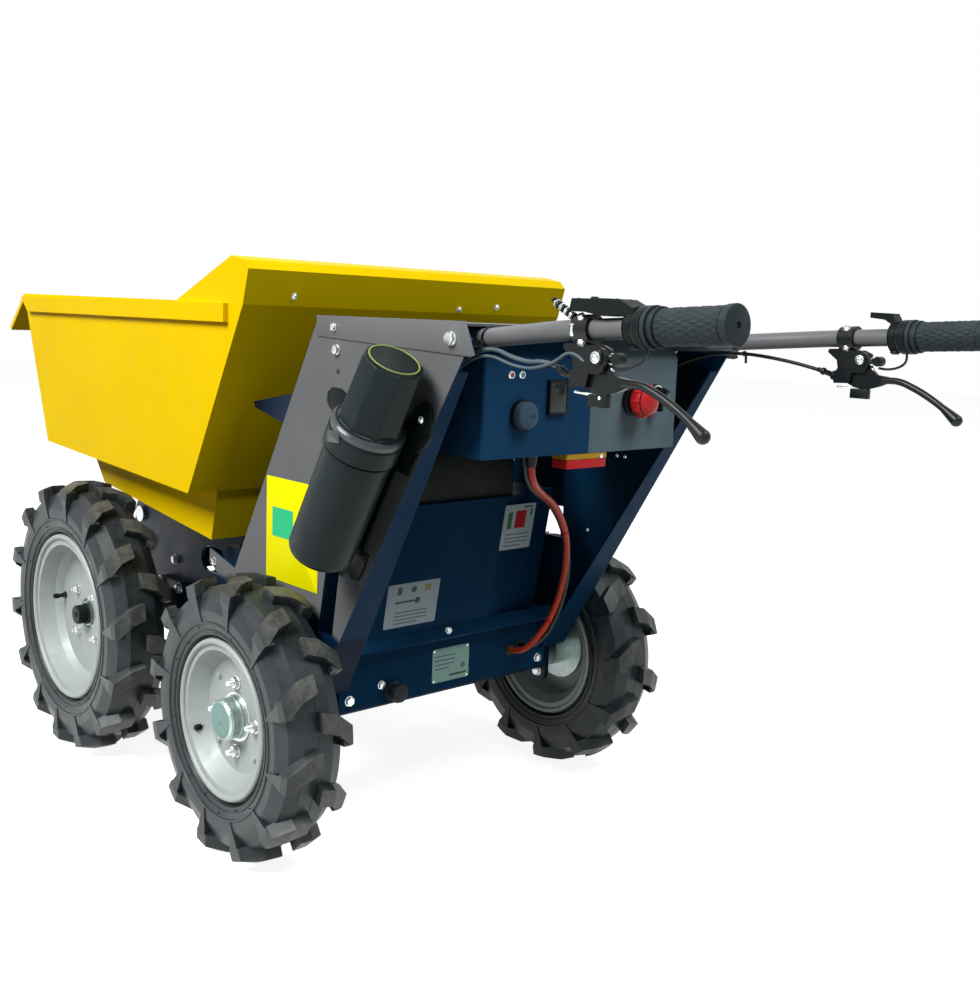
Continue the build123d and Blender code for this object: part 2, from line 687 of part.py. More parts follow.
# ================================================================ document canister
canister_plane = Plane(origin=CANISTER_BOTTOM, x_dir=(0, 1, 0), z_dir=CANISTER_LEAN)
with BuildPart() as canister:
    for start, length, ring_r in ((0, CAP_START, CANISTER_R), (180, 20, CANISTER_R + 3)):
        with BuildSketch(canister_plane.offset(start)) as ring:
            Circle(ring_r)
        extrude(ring.sketch, amount=length)
    fillet(canister.edges().filter_by(GeomType.CIRCLE).sort_by(Axis(CANISTER_BOTTOM, CANISTER_LEAN))[0], 14)
write(canister, "canister_body")

with BuildPart() as canister_cap:
    with BuildSketch(canister_plane.offset(CAP_START)):
        RegularPolygon(CANISTER_R + 2, 8, major_radius=False, rotation=22.5)
    with BuildSketch(canister_plane.offset(CANISTER_LENGTH - 6)):
        RegularPolygon(CANISTER_R - 7, 8, major_radius=False, rotation=22.5)
    loft(ruled=True)
    with BuildSketch(canister_plane.offset(CANISTER_LENGTH - 6)) as disc:
        Circle(CANISTER_R - 9)
    extrude(disc.sketch, amount=6)
write(canister_cap, "canister_cap")

lean_x, lean_z = CANISTER_LEAN[0], CANISTER_LEAN[2]


def on_plate(along, offset_across):
    """X-Z place on the side plate, measured along and across the canister's lean."""
    return (
        CANISTER_BOTTOM[0] + along * lean_x + offset_across * lean_z,
        CANISTER_BOTTOM[2] + along * lean_z - offset_across * lean_x,
    )


bracket_outline = (
    on_plate(-42, 0), on_plate(-8, 22), on_plate(150, 22), on_plate(160, 48), on_plate(190, 48),
    on_plate(200, 22), on_plate(200, -22), on_plate(190, -48), on_plate(160, -48), on_plate(150, -22),
    on_plate(-8, -22),
)
spacer_outline = (on_plate(60, 15), on_plate(150, 15), on_plate(150, -15), on_plate(60, -15))
with BuildPart() as canister_bracket:
    outline_slab(bracket_outline, PLATE_Y, PLATE_Y + 3)
    outline_slab(spacer_outline, PLATE_Y, PLATE_Y + 6)
write(canister_bracket, "canister_bracket")

# ================================================================ skip
upper_side = (
    (154, RIM_Z), (743, RIM_Z), SHELF_FRONT, SHELF_REAR, (-43, 770), (-57, 818), (-45, 830), (-12, 836),
)
for side, s in SIDES:
    with BuildPart() as skip_side:
        outline_slab(upper_side, *sorted((s * SKIP_HALF, s * (SKIP_HALF - SKIP_T))))
        hem_low, hem_high = sorted((s * SKIP_HALF, s * (SKIP_HALF + HEM_PROUD)))
        outline_slab(
            ((-4, RIM_Z), (743, RIM_Z), (HEM_END_X, RIM_Z - HEM_DEPTH), (-4, RIM_Z - HEM_DEPTH)),
            hem_low, hem_high,
        )
    write(skip_side, f"skip_side_{side}")

SHELF_START = SHELF_REAR[0] + 17
SHELF_END = SHELF_FRONT[0] - 17
strip_start = SHELF_START + 0.3
shelf_strip = (
    (strip_start, shelf_z(strip_start)), (SHELF_END, shelf_z(SHELF_END)),
    (SHELF_END - SHELF_SKEW, shelf_z(SHELF_END) + SKIP_T),
    (strip_start - SHELF_SKEW, shelf_z(strip_start) + SKIP_T),
)
with BuildPart() as shelves:
    for side, s in SIDES:
        outline_slab(shelf_strip, *sorted((s * (SKIP_HALF - SKIP_T), s * (BELLY_HALF - SKIP_T))))
write(shelves, "skip_shelves")

belly_outline = (
    (BELLY_TOP_REAR_X, shelf_z(BELLY_TOP_REAR_X)), (BELLY_TOP_FRONT_X, shelf_z(BELLY_TOP_FRONT_X)),
    BELLY_FRONT, BELLY_REAR,
)
with BuildPart() as belly_sides:
    for side, s in SIDES:
        outline_slab(belly_outline, *sorted((s * BELLY_HALF, s * (BELLY_HALF - SKIP_T))))
write(belly_sides, "skip_belly_sides")

rear_points = (
    (-12, 836), (-45, 830), (-57, 818), (-43, 770), SHELF_REAR, (SHELF_START, shelf_z(SHELF_START)),
)
with BuildPart() as skip_rear:
    folded_sheet(rear_points, SKIP_T, SKIP_HALF - SKIP_T, Side.LEFT)
write(skip_rear, "skip_rear_panel")

front_points = ((743, RIM_Z), SHELF_FRONT, (SHELF_END, shelf_z(SHELF_END)))
belly_join_points = (SHELF_FRONT, (BELLY_TOP_FRONT_X, shelf_z(BELLY_TOP_FRONT_X)))
with BuildPart() as skip_front:
    folded_sheet(((816, 708), (743, RIM_Z)), LIP_T, SKIP_HALF, Side.RIGHT)
    folded_sheet(front_points, SKIP_T, SKIP_HALF - SKIP_T, Side.RIGHT)
    folded_sheet(belly_join_points, SKIP_T, BELLY_HALF - SKIP_T, Side.RIGHT)
write(skip_front, "skip_front_panel")

floor_points = (
    (BELLY_TOP_REAR_X + 0.2, shelf_z(BELLY_TOP_REAR_X) - 0.8), BELLY_REAR, BELLY_FRONT,
    (BELLY_TOP_FRONT_X, shelf_z(BELLY_TOP_FRONT_X)),
)
with BuildPart() as skip_floor:
    folded_sheet(floor_points, SKIP_T, BELLY_HALF - SKIP_T, Side.LEFT)
write(skip_floor, "skip_floor")

gusset_outline = (
    (470, belly_z(470)), BELLY_FRONT, (BELLY_TOP_FRONT_X, shelf_z(BELLY_TOP_FRONT_X)), (632, shelf_z(632)),
    (HINGE_X + EYE_R, HINGE_Z), (HINGE_X, HINGE_Z), (HINGE_X - 20, HINGE_Z - 12),
)
with BuildPart() as gussets:
    for side, s in SIDES:
        with BuildSketch(across(s * GUSSET_Y + GUSSET_T / 2)) as gusset:
            with BuildLine():
                Polyline(*gusset_outline, close=True)
            make_face()
            with Locations((HINGE_X, HINGE_Z)):
                Circle(EYE_R)
                Circle(HINGE_PIN_R + CLEARANCE, mode=Mode.SUBTRACT)
        extrude(gusset.sketch, amount=GUSSET_T)
write(gussets, "hinge_gussets")
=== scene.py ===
"""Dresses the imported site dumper: paint, rubber, plated fasteners, labels, ties and a plain studio.

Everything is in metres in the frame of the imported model: +X forward, +Y to the operator's left, +Z up.
"""
import logging
import math
from contextlib import contextmanager
from dataclasses import dataclass, field
from enum import Enum
from typing import Iterator, Sequence

import bmesh
import bpy
from mathutils import Matrix, Vector


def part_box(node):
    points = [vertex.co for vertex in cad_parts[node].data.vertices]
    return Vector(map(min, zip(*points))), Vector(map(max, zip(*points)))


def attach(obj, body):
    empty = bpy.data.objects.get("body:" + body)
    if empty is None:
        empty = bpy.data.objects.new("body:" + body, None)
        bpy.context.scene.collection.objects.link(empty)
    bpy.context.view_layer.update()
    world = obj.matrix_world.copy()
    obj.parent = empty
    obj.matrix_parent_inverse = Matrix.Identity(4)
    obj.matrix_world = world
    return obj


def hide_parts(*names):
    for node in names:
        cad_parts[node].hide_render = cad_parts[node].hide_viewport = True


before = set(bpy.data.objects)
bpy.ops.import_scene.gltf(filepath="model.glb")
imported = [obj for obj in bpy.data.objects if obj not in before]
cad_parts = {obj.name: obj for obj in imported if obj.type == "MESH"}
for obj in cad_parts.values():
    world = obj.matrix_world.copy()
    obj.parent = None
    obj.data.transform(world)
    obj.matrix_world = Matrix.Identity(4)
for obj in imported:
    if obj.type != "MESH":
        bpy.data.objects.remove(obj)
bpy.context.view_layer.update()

LOG = logging.getLogger("dumper")
MM = 0.001

Point = tuple[float, float, float]
Colour = tuple[float, float, float]
Outline = Sequence[tuple[float, float]]
Socket = bpy.types.NodeSocket
Material = bpy.types.Material


class Side(Enum):
    """A side of the machine, as its operator sees it."""

    LEFT = 1
    RIGHT = -1

    @property
    def word(self) -> str:
        """The side's plain name, as it stands in the names of pieces."""
        return self.name.lower()


class Body(Enum):
    """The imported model's bodies that do not depend on a wheel."""

    CHASSIS = "chassis"
    SKIP = "skip"


class Axle(Enum):
    """An axle of the machine."""

    FRONT = "front"
    REAR = "rear"


def mm(*values: float) -> Vector:
    """A point given in millimetres, in metres."""
    return Vector(values) * MM


def shift(x: float, y: float, z: float) -> Matrix:
    """A move by that many millimetres."""
    return Matrix.Translation(mm(x, y, z))


def stand(at: Vector, out: Point | Vector, turn: float = 0.0) -> Matrix:
    """Placement of a form that is built on its own Z axis.

    Args:
        at: where the form's origin goes.
        out: the direction that its Z axis takes. Its X axis stays level.
        turn: angle about that axis, in degrees.

    Returns:
        The placing matrix.
    """
    z_axis = Vector(out).normalized()
    level = Vector((0.0, 0.0, 1.0)).cross(z_axis)
    x_axis = level.normalized() if level.length > 1e-4 else Vector((1.0, 0.0, 0.0))
    y_axis = z_axis.cross(x_axis)
    basis = Matrix((x_axis, y_axis, z_axis)).transposed().to_4x4()
    return Matrix.Translation(at) @ basis @ Matrix.Rotation(math.radians(turn), 4, "Z")


# ---- finishes
class Graph:
    """One material's node tree, with Object coordinates at hand."""

    def __init__(self, name: str) -> None:
        """Starts an empty tree that holds a Principled shader.

        Args:
            name: the material's name.
        """
        self.material = bpy.data.materials.new(name)
        self.material.use_nodes = True
        self.nodes = self.material.node_tree.nodes
        self.links = self.material.node_tree.links
        self.nodes.clear()
        output = self.nodes.new("ShaderNodeOutputMaterial")
        self.shader = self.nodes.new("ShaderNodeBsdfPrincipled")
        self.links.new(self.shader.outputs["BSDF"], output.inputs["Surface"])
        self.place = self.nodes.new("ShaderNodeTexCoord").outputs["Object"]

    def set(self, **values: float | Colour) -> None:
        """Sets constants on the shader's own sockets, named with underscores for spaces.

        Args:
            values: each socket's constant.
        """
        for key, value in values.items():
            socket = self.shader.inputs[key.replace("_", " ")]
            socket.default_value = (*value, 1.0) if isinstance(value, tuple) else value

    def feed(self, socket: Socket, value: object) -> None:
        """Links a socket to an output, or sets it to a constant.

        Args:
            socket: the input.
            value: an output to link, or a constant.
        """
        if isinstance(value, Socket):
            self.links.new(value, socket)
        elif isinstance(value, tuple) and len(value) == 3 and socket.type == "RGBA":
            socket.default_value = (*value, 1.0)
        else:
            socket.default_value = value

    def worked_out(self, kind: str, operation: str, *inputs: object) -> bpy.types.Node:
        """Makes a node that works out one operation.

        Args:
            kind: Math or VectorMath.
            operation: the node's own word for it.
            inputs: outputs or constants, in the order of the node's inputs.

        Returns:
            The node.
        """
        node = self.nodes.new(f"ShaderNode{kind}")
        node.operation = operation
        for socket, value in zip(node.inputs, inputs):
            self.feed(socket, value)
        return node

    def mapped(self, centre: Vector, scale: Point) -> Socket:
        """Object coordinates measured from a centre, each axis scaled."""
        moved = self.worked_out("VectorMath", "SUBTRACT", self.place, centre).outputs[0]
        return self.worked_out("VectorMath", "MULTIPLY", moved, scale).outputs[0]

    def noise(self, scale: float, detail: float, roughness: float = 0.5) -> Socket:
        """Noise of that many features a metre, from 0 to 1.

        Args:
            scale: features in a metre.
            detail: number of octaves.
            roughness: strength of each octave in the next.

        Returns:
            The noise.
        """
        node = self.nodes.new("ShaderNodeTexNoise")
        self.links.new(self.place, node.inputs["Vector"])
        for key, number in (("Scale", scale), ("Detail", detail), ("Roughness", roughness)):
            node.inputs[key].default_value = number
        return node.outputs["Fac"]

    def cells(self, scale: float) -> Socket:
        """Distance to the nearest point of a scatter, for spangle and grain.

        Args:
            scale: points in a metre.

        Returns:
            The distance.
        """
        node = self.nodes.new("ShaderNodeTexVoronoi")
        self.links.new(self.place, node.inputs["Vector"])
        node.inputs["Scale"].default_value = scale
        return node.outputs["Distance"]

    def span(
        self, value: Socket, low: float, high: float, to_low: float = 0.0, to_high: float = 1.0,
    ) -> Socket:
        """A value from low to high brought to another span, and held inside it.

        Args:
            value: what is brought over.
            low: the value that becomes to_low.
            high: the value that becomes to_high.
            to_low: start of the new span.
            to_high: end of the new span.

        Returns:
            The new value.
        """
        node = self.nodes.new("ShaderNodeMapRange")
        self.links.new(value, node.inputs["Value"])
        for key, number in (("From Min", low), ("From Max", high), ("To Min", to_low), ("To Max", to_high)):
            node.inputs[key].default_value = number
        return node.outputs["Result"]

    def math(self, operation: str, first: object, second: object = 0.0) -> Socket:
        """The result of one arithmetic operation on outputs or numbers."""
        return self.worked_out("Math", operation, first, second).outputs[0]

    def part(self, vector: Socket, axis: str) -> Socket:
        """The X, Y or Z of a vector.

        Args:
            vector: what is taken apart.
            axis: X, Y or Z.

        Returns:
            The coordinate.
        """
        node = self.nodes.new("ShaderNodeSeparateXYZ")
        self.links.new(vector, node.inputs[0])
        return node.outputs[axis]

    def length(self, vector: Socket) -> Socket:
        """The length of a vector."""
        return self.worked_out("VectorMath", "LENGTH", vector).outputs["Value"]

    def mix(self, factor: Socket, first: object, second: object) -> Socket:
        """A colour between two others.

        Args:
            factor: from 0, the first colour, to 1, the second.
            first: a colour or an output.
            second: a colour or an output.

        Returns:
            The mixed colour.
        """
        node = self.nodes.new("ShaderNodeMix")
        node.data_type = "RGBA"
        self.links.new(factor, node.inputs["Factor"])
        first_colour, second_colour, mixed_colour = 6, 7, 2
        self.feed(node.inputs[first_colour], first)
        self.feed(node.inputs[second_colour], second)
        return node.outputs[mixed_colour]

    def bump(self, height: Socket, depth: float, strength: float = 1.0) -> None:
        """Adds relief of that depth in metres to what the shader has already.

        Args:
            height: the pattern of the relief.
            depth: in metres.
            strength: share of it that shows.
        """
        node = self.nodes.new("ShaderNodeBump")
        node.inputs["Strength"].default_value = strength
        node.inputs["Distance"].default_value = depth
        self.links.new(height, node.inputs["Height"])
        previous = self.shader.inputs["Normal"].links
        if previous:
            self.links.new(previous[0].from_socket, node.inputs["Normal"])
        self.links.new(node.outputs["Normal"], self.shader.inputs["Normal"])

    def link(self, value: Socket, name: str) -> None:
        """Feeds one of the shader's inputs."""
        self.links.new(value, self.shader.inputs[name])

    def uneven_gloss(self, scale: float, detail: float, low: float, high: float) -> None:
        """Lets the roughness wander from low to high in noise of that scale and detail."""
        self.link(self.span(self.noise(scale, detail), 0.3, 0.7, low, high), "Roughness")

    def coat_relief(self) -> None:
        """Adds the fine orange peel of a powder coat and the slow waves of its sheet."""
        self.bump(self.noise(420.0, 2.0), 0.00006, 0.6)
        self.bump(self.noise(9.0, 1.0), 0.0009, 0.25)


@dataclass(frozen=True)
class SheetPaint:
    """Powder-coated sheet metal: a faint orange peel and uneven gloss, and low down a little dust.

    Attributes:
        name: the material's name.
        colour: its main colour.
        shade: the colour of its clouds.
        gloss: its middle roughness.
        shine: strength of its reflections.
        dust_top: height in metres below which dust shows, or 0 for none.
    """

    name: str
    colour: Colour
    shade: Colour
    gloss: float = 0.38
    shine: float = 0.25
    dust_top: float = 0.0

    def make(self) -> Material:
        """Builds the material.

        Returns:
            The material.
        """
        graph = Graph(self.name)
        cloud = graph.noise(7.0, 4.0)
        tone = graph.mix(graph.span(cloud, 0.35, 0.7), self.colour, self.shade)
        if self.dust_top > 0.0:
            height = graph.span(graph.part(graph.place, "Z"), self.dust_top, 0.12, 0.0, 0.3)
            specks = graph.span(graph.noise(42.0, 8.0, 0.7), 0.55, 0.85)
            tone = graph.mix(graph.math("MULTIPLY", height, specks), tone, (0.07, 0.065, 0.055))
        graph.link(tone, "Base Color")
        graph.uneven_gloss(24.0, 5.0, self.gloss - 0.06, self.gloss + 0.08)
        graph.set(Specular_IOR_Level=self.shine)
        graph.coat_relief()
        return graph.material


@dataclass(frozen=True)
class SplitPaint:
    """Paint in two colours that meet at one value of Y: as on a masked panel, or a plate's two sides.

    Attributes:
        name: the material's name.
        left: the colour to the left of the line, towards +Y.
        right: the colour to the right of it.
        line_y: where the line is, in metres.
        wander: how far the line strays, in metres.
        gloss: its middle roughness.
        shine: strength of its reflections.
        foot: the colour of the lower end, if it has its own.
        foot_slope: rise of the foot's upper line towards +X.
        foot_line: height of that line at the origin, in metres.
        foot_top: height that the foot reaches at most, in metres.
    """

    name: str
    left: Colour
    right: Colour
    line_y: float
    wander: float = 0.0
    gloss: float = 0.42
    shine: float = 0.2
    foot: Colour | None = None
    foot_slope: float = 0.45
    foot_line: float = 0.419
    foot_top: float = 0.358

    def make(self) -> Material:
        """Builds the material.

        Returns:
            The material.
        """
        graph = Graph(self.name)
        stray = graph.span(graph.noise(60.0, 2.0), 0.0, 1.0, -self.wander, self.wander)
        across = graph.math("ADD", graph.part(graph.place, "Y"), stray)
        blur = 0.00005 + 0.5 * self.wander
        side = graph.span(across, self.line_y - blur, self.line_y + blur)
        tone = graph.mix(side, self.right, self.left)
        dimmed = graph.mix(side, tuple(0.8 * c for c in self.right), tuple(0.86 * c for c in self.left))
        cloud = graph.span(graph.noise(8.0, 4.0), 0.35, 0.7)
        colour = graph.mix(cloud, tone, dimmed)
        if self.foot:
            height = graph.part(graph.place, "Z")
            climb = graph.math("MULTIPLY", graph.part(graph.place, "X"), self.foot_slope)
            above_slope = graph.math("SUBTRACT", graph.math("SUBTRACT", height, climb), self.foot_line)
            above_step = graph.math("SUBTRACT", height, self.foot_top)
            above = graph.math("MAXIMUM", above_slope, above_step)
            colour = graph.mix(graph.span(above, -0.005, 0.004), self.foot, colour)
        graph.link(colour, "Base Color")
        graph.uneven_gloss(30.0, 4.0, self.gloss - 0.05, self.gloss + 0.08)
        graph.set(Specular_IOR_Level=self.shine)
        graph.coat_relief()
        return graph.material


@dataclass(frozen=True)
class TyreRubber:
    """Tyre rubber: smooth dark walls with fine mould rings, and dusty, worn faces on the lugs.

    Attributes:
        name: the material's name.
        axle: the wheel's middle, in metres.
        crown: radius of the carcass under the lugs, in metres.
        tip: radius over the lugs, in metres.
        ring_pitch: from one fine mould ring to the next, in metres.
    """

    name: str
    axle: Point
    crown: float
    tip: float
    ring_pitch: float = 0.0032

    def make(self) -> Material:
        """Builds the material, measured from the wheel's axle.

        Returns:
            The material.
        """
        graph = Graph(self.name)
        flat = graph.mapped(Vector(self.axle), (1.0, 0.0, 1.0))
        radius = graph.length(flat)
        grime = graph.noise(38.0, 8.0, 0.65)
        base = graph.mix(graph.span(grime, 0.35, 0.7), (0.018, 0.023, 0.026), (0.038, 0.046, 0.05))
        worn = graph.span(radius, self.crown + 0.004, self.tip - 0.0005)
        patch = graph.span(graph.noise(70.0, 6.0, 0.7), 0.36, 0.62, 0.15, 0.9)
        tread = graph.mix(graph.math("MULTIPLY", worn, patch), base, (0.15, 0.145, 0.125))
        graph.link(tread, "Base Color")
        graph.link(graph.span(grime, 0.3, 0.75, 0.3, 0.52), "Roughness")
        graph.set(Specular_IOR_Level=0.32)
        rings = graph.math("SINE", graph.math("MULTIPLY", radius, math.tau / self.ring_pitch))
        wall = graph.math("MULTIPLY", rings, graph.span(radius, self.crown - 0.008, self.crown - 0.03))
        graph.bump(wall, 0.00012, 0.5)
        graph.bump(graph.noise(260.0, 5.0, 0.6), 0.0003, 0.5)
        graph.bump(graph.noise(28.0, 3.0), 0.0012, 0.35)
        return graph.material


@dataclass(frozen=True)
class Moulding:
    """Moulded rubber or plastic with a fine grain and a faint blotchy sheen.

    Attributes:
        name: the material's name.
        colour: its main colour.
        light: the colour of its blotches.
        gloss: its middle roughness.
        shine: strength of its reflections.
        grain: depth of its grain, in metres.
        grain_scale: grains in a metre.
    """

    name: str
    colour: Colour
    light: Colour
    gloss: float = 0.45
    shine: float = 0.25
    grain: float = 0.00005
    grain_scale: float = 900.0

    def make(self) -> Material:
        """Builds the material.

        Returns:
            The material.
        """
        graph = Graph(self.name)
        blotch = graph.span(graph.noise(32.0, 5.0, 0.6), 0.45, 0.85, 0.0, 0.6)
        graph.link(graph.mix(blotch, self.colour, self.light), "Base Color")
        graph.uneven_gloss(70.0, 3.0, self.gloss - 0.06, self.gloss + 0.1)
        graph.set(Specular_IOR_Level=self.shine)
        graph.bump(graph.noise(self.grain_scale, 2.0), self.grain, 0.7)
        return graph.material


@dataclass(frozen=True)
class Plating:
    """Zinc-plated or bare steel: a faint spangle, and streaks in its gloss.

    Attributes:
        name: the material's name.
        colour: its main colour.
        stain: the colour of its stains.
        gloss: its middle roughness.
        metal: how metallic it is.
    """

    name: str
    colour: Colour
    stain: Colour
    gloss: float = 0.3
    metal: float = 1.0

    def make(self) -> Material:
        """Builds the material.

        Returns:
            The material.
        """
        graph = Graph(self.name)
        spangle = graph.span(graph.cells(260.0), 0.1, 0.6)
        blotch = graph.span(graph.noise(90.0, 5.0, 0.6), 0.5, 0.8, 0.0, 0.7)
        graph.link(graph.mix(blotch, self.colour, self.stain), "Base Color")
        graph.link(graph.span(spangle, 0.0, 1.0, self.gloss - 0.08, self.gloss + 0.1), "Roughness")
        graph.set(Metallic=self.metal)
        graph.bump(graph.noise(700.0, 2.0), 0.00003, 0.5)
        return graph.material


@dataclass(frozen=True)
class WheelSilver:
    """Silver wheel paint, a little metallic, with smudges of grime.

    Attributes:
        name: the material's name.
        colour: its main colour.
        grime: the colour of its smudges.
        gloss: its middle roughness.
    """

    name: str
    colour: Colour
    grime: Colour
    gloss: float = 0.5

    def make(self) -> Material:
        """Builds the material.

        Returns:
            The material.
        """
        graph = Graph(self.name)
        smudge = graph.span(graph.noise(26.0, 6.0, 0.62), 0.5, 0.85, 0.0, 0.5)
        graph.link(graph.mix(smudge, self.colour, self.grime), "Base Color")
        graph.uneven_gloss(60.0, 4.0, self.gloss - 0.06, self.gloss + 0.1)
        graph.set(Metallic=0.15)
        graph.bump(graph.noise(500.0, 2.0), 0.00005, 0.6)
        return graph.material


@dataclass(frozen=True)
class Vinyl:
    """Printed vinyl or a glossy lens: one colour with faint scuffs.

    Attributes:
        name: the material's name.
        colour: its colour.
        gloss: its middle roughness.
        shine: strength of its reflections.
    """

    name: str
    colour: Colour
    gloss: float = 0.35
    shine: float = 0.25

    def make(self) -> Material:
        """Builds the material.

        Returns:
            The material.
        """
        graph = Graph(self.name)
        scuff = graph.span(graph.noise(120.0, 6.0, 0.7), 0.62, 0.9, 0.0, 0.2)
        pale = tuple(0.75 * c + 0.04 for c in self.colour)
        graph.link(graph.mix(scuff, self.colour, pale), "Base Color")
        graph.uneven_gloss(90.0, 3.0, self.gloss - 0.05, self.gloss + 0.08)
        graph.set(Specular_IOR_Level=self.shine)
        return graph.material


GREY: Colour = (0.16, 0.162, 0.168)
NAVY: Colour = (0.006, 0.055, 0.135)
NAVY_SHADE: Colour = (0.005, 0.045, 0.11)
# Painted shade: a darker copy of NAVY for the chassis parts, the skip's stays and the left plate's lower end,
# so that they look shaded where the key lamp lights them.
SHADED_NAVY: Colour = (0.0026, 0.015, 0.04)
PLATE_SPLIT = 0.2476    # where a side plate's two colours meet, inside its outer face


class Finishes:
    """Every finish of the machine, each built once."""

    def __init__(self) -> None:
        """Builds the finishes."""
        self.yellow = SheetPaint("skip_yellow_paint", (0.9, 0.6, 0.0), (0.86, 0.56, 0.0), 0.42, 0.03).make()
        self.grey = SheetPaint("tower_grey_paint", GREY, (0.14, 0.142, 0.148), 0.42, 0.2).make()
        self.navy = SheetPaint("frame_navy_paint", NAVY, NAVY_SHADE, 0.42, 0.03, 0.32).make()
        # Painted shade: the navy paint made darker, for navy parts that should look shaded.
        self.shaded_navy = SheetPaint(
            "shaded_navy_paint", SHADED_NAVY, (0.002, 0.011, 0.03), 0.4, 0.2, 0.32,
        ).make()
        # The left plate's lower end takes the darker navy copy, which paints shade on it.
        self.plate_left = SplitPaint(
            "plate_paint_left", GREY, NAVY, PLATE_SPLIT, shine=0.05, foot=SHADED_NAVY,
        ).make()
        self.plate_right = SplitPaint(
            "plate_paint_right", NAVY, GREY, -PLATE_SPLIT, shine=0.05, foot=NAVY,
        ).make()
        self.dash = SplitPaint(
            "dash_paint", (0.016, 0.08, 0.19), (0.23, 0.3, 0.34), -0.006, 0.0006, shine=0.05,
        ).make()
        self.rim = WheelSilver("rim_silver_paint", (0.42, 0.46, 0.44), (0.28, 0.31, 0.29)).make()
        self.zinc = Plating("zinc_plating", (0.66, 0.68, 0.68), (0.42, 0.43, 0.42), 0.26).make()
        self.hub = Plating("hub_zinc", (0.42, 0.5, 0.48), (0.28, 0.34, 0.32), 0.34).make()
        self.teal = SheetPaint("hub_end_teal", (0.26, 0.42, 0.38), (0.22, 0.36, 0.33), 0.5).make()
        self.casting = Plating("axle_casting", (0.045, 0.05, 0.05), (0.025, 0.028, 0.03), 0.55, 0.6).make()
        self.black_paint = SheetPaint(
            "black_enamel", (0.006, 0.008, 0.009), (0.01, 0.012, 0.013), 0.28,
        ).make()
        self.plastic = Moulding(
            "black_plastic", (0.006, 0.009, 0.01), (0.014, 0.018, 0.019), 0.4, 0.12,
        ).make()
        self.canister = Moulding(
            "canister_plastic", (0.014, 0.022, 0.023), (0.026, 0.036, 0.037), 0.34, 0.12, 0.00008, 620.0,
        ).make()
        self.collar = Moulding("canister_collar", (0.04, 0.05, 0.053), (0.075, 0.087, 0.09), 0.26, 0.5).make()
        self.rubber = Moulding(
            "grip_rubber", (0.024, 0.034, 0.038), (0.045, 0.056, 0.062), 0.5, 0.15, 0.00006, 800.0,
        ).make()
        self.wire = Moulding("black_sheath", (0.008, 0.009, 0.01), (0.02, 0.021, 0.022), 0.38).make()
        # Painted sheen: a lighter grey copy of the black sheath, for the cables on the left where the key
        # lamp lights them.
        self.sheen_grey_wire = Moulding("sheen_grey_sheath", (0.1, 0.13, 0.15), (0.16, 0.2, 0.22), 0.4).make()
        self.conduit = Moulding(
            "conduit_orange", (0.98, 0.085, 0.03), (1.0, 0.15, 0.06), 0.32, 0.2, 0.00004, 500.0,
        ).make()
        self.stop_red = Vinyl("stop_red", (0.9, 0.03, 0.03), 0.34, 0.2).make()
        self.cap_grey = Moulding("cap_grey", (0.08, 0.13, 0.19), (0.12, 0.17, 0.23), 0.45, 0.12).make()
        self.label_white = Vinyl("label_white", (0.84, 0.96, 1.0), 0.38, 0.1).make()
        self.label_mint = Vinyl("label_mint", (0.62, 0.93, 0.8), 0.4, 0.1).make()
        self.label_yellow = Vinyl("label_yellow", (0.98, 0.9, 0.0), 0.4, 0.05).make()
        self.print_green = Vinyl("print_green", (0.01, 0.56, 0.22), 0.4).make()
        self.print_dark_green = Vinyl("print_dark_green", (0.07, 0.28, 0.1), 0.4, 0.1).make()
        self.print_red = Vinyl("print_red", (0.7, 0.025, 0.02), 0.4, 0.1).make()
        # Dark print, and also the painted shade of a small dimple and a small hole.
        self.dark_print_and_shade = Vinyl("dark_print_and_shade", (0.02, 0.03, 0.035), 0.42).make()
        self.print_grey = Vinyl("print_grey", (0.3, 0.36, 0.38), 0.42, 0.1).make()
        self.print_amber = Vinyl("print_amber", (0.7, 0.5, 0.22), 0.42, 0.1).make()
        self.connector_yellow = Vinyl("connector_yellow", (0.75, 0.4, 0.02), 0.35).make()
        self.cap_ring = Vinyl("cap_ring", (0.3, 0.34, 0.06), 0.35).make()
        self.lens_red = Vinyl("lens_red", (0.5, 0.05, 0.08), 0.12, 0.5).make()
        self.lens_green = Vinyl("lens_green", (0.12, 0.4, 0.28), 0.12, 0.5).make()
        self.screen = Vinyl("screen_black", (0.008, 0.012, 0.011), 0.16, 0.4).make()


# ---- mesh work
def round_line(
    name: str, route: Sequence[Vector], radius: float, sides: int, steps: int,
) -> bpy.types.Curve:
    """A smooth line through the neighbourhood of its points, with a round section.

    Args:
        name: the curve's name.
        route: control points of the line, in metres.
        radius: of the section in millimetres, or 0 for a bare line.
        sides: steps in a quarter of the section.
        steps: steps from one control point to the next.

    Returns:
        The curve.
    """
    curve = bpy.data.curves.new(name, "CURVE")
    curve.dimensions = "3D"
    curve.bevel_depth = radius * MM
    curve.bevel_resolution = sides
    curve.use_fill_caps = True
    curve.resolution_u = steps
    spline = curve.splines.new("NURBS")
    spline.points.add(len(route) - 1)
    for point, place in zip(spline.points, route):
        point.co = (*place, 1.0)
    spline.order_u = 3
    spline.use_endpoint_u = True
    return curve


def mesh_of(curve: bpy.types.Curve) -> bpy.types.Mesh:
    """Makes the mesh of a curve and removes the curve.

    Args:
        curve: the curve, which no object uses.

    Returns:
        The mesh.
    """
    carrier = bpy.data.objects.new("carrier", curve)
    mesh = bpy.data.meshes.new_from_object(carrier)
    bpy.data.objects.remove(carrier)
    bpy.data.curves.remove(curve)
    return mesh


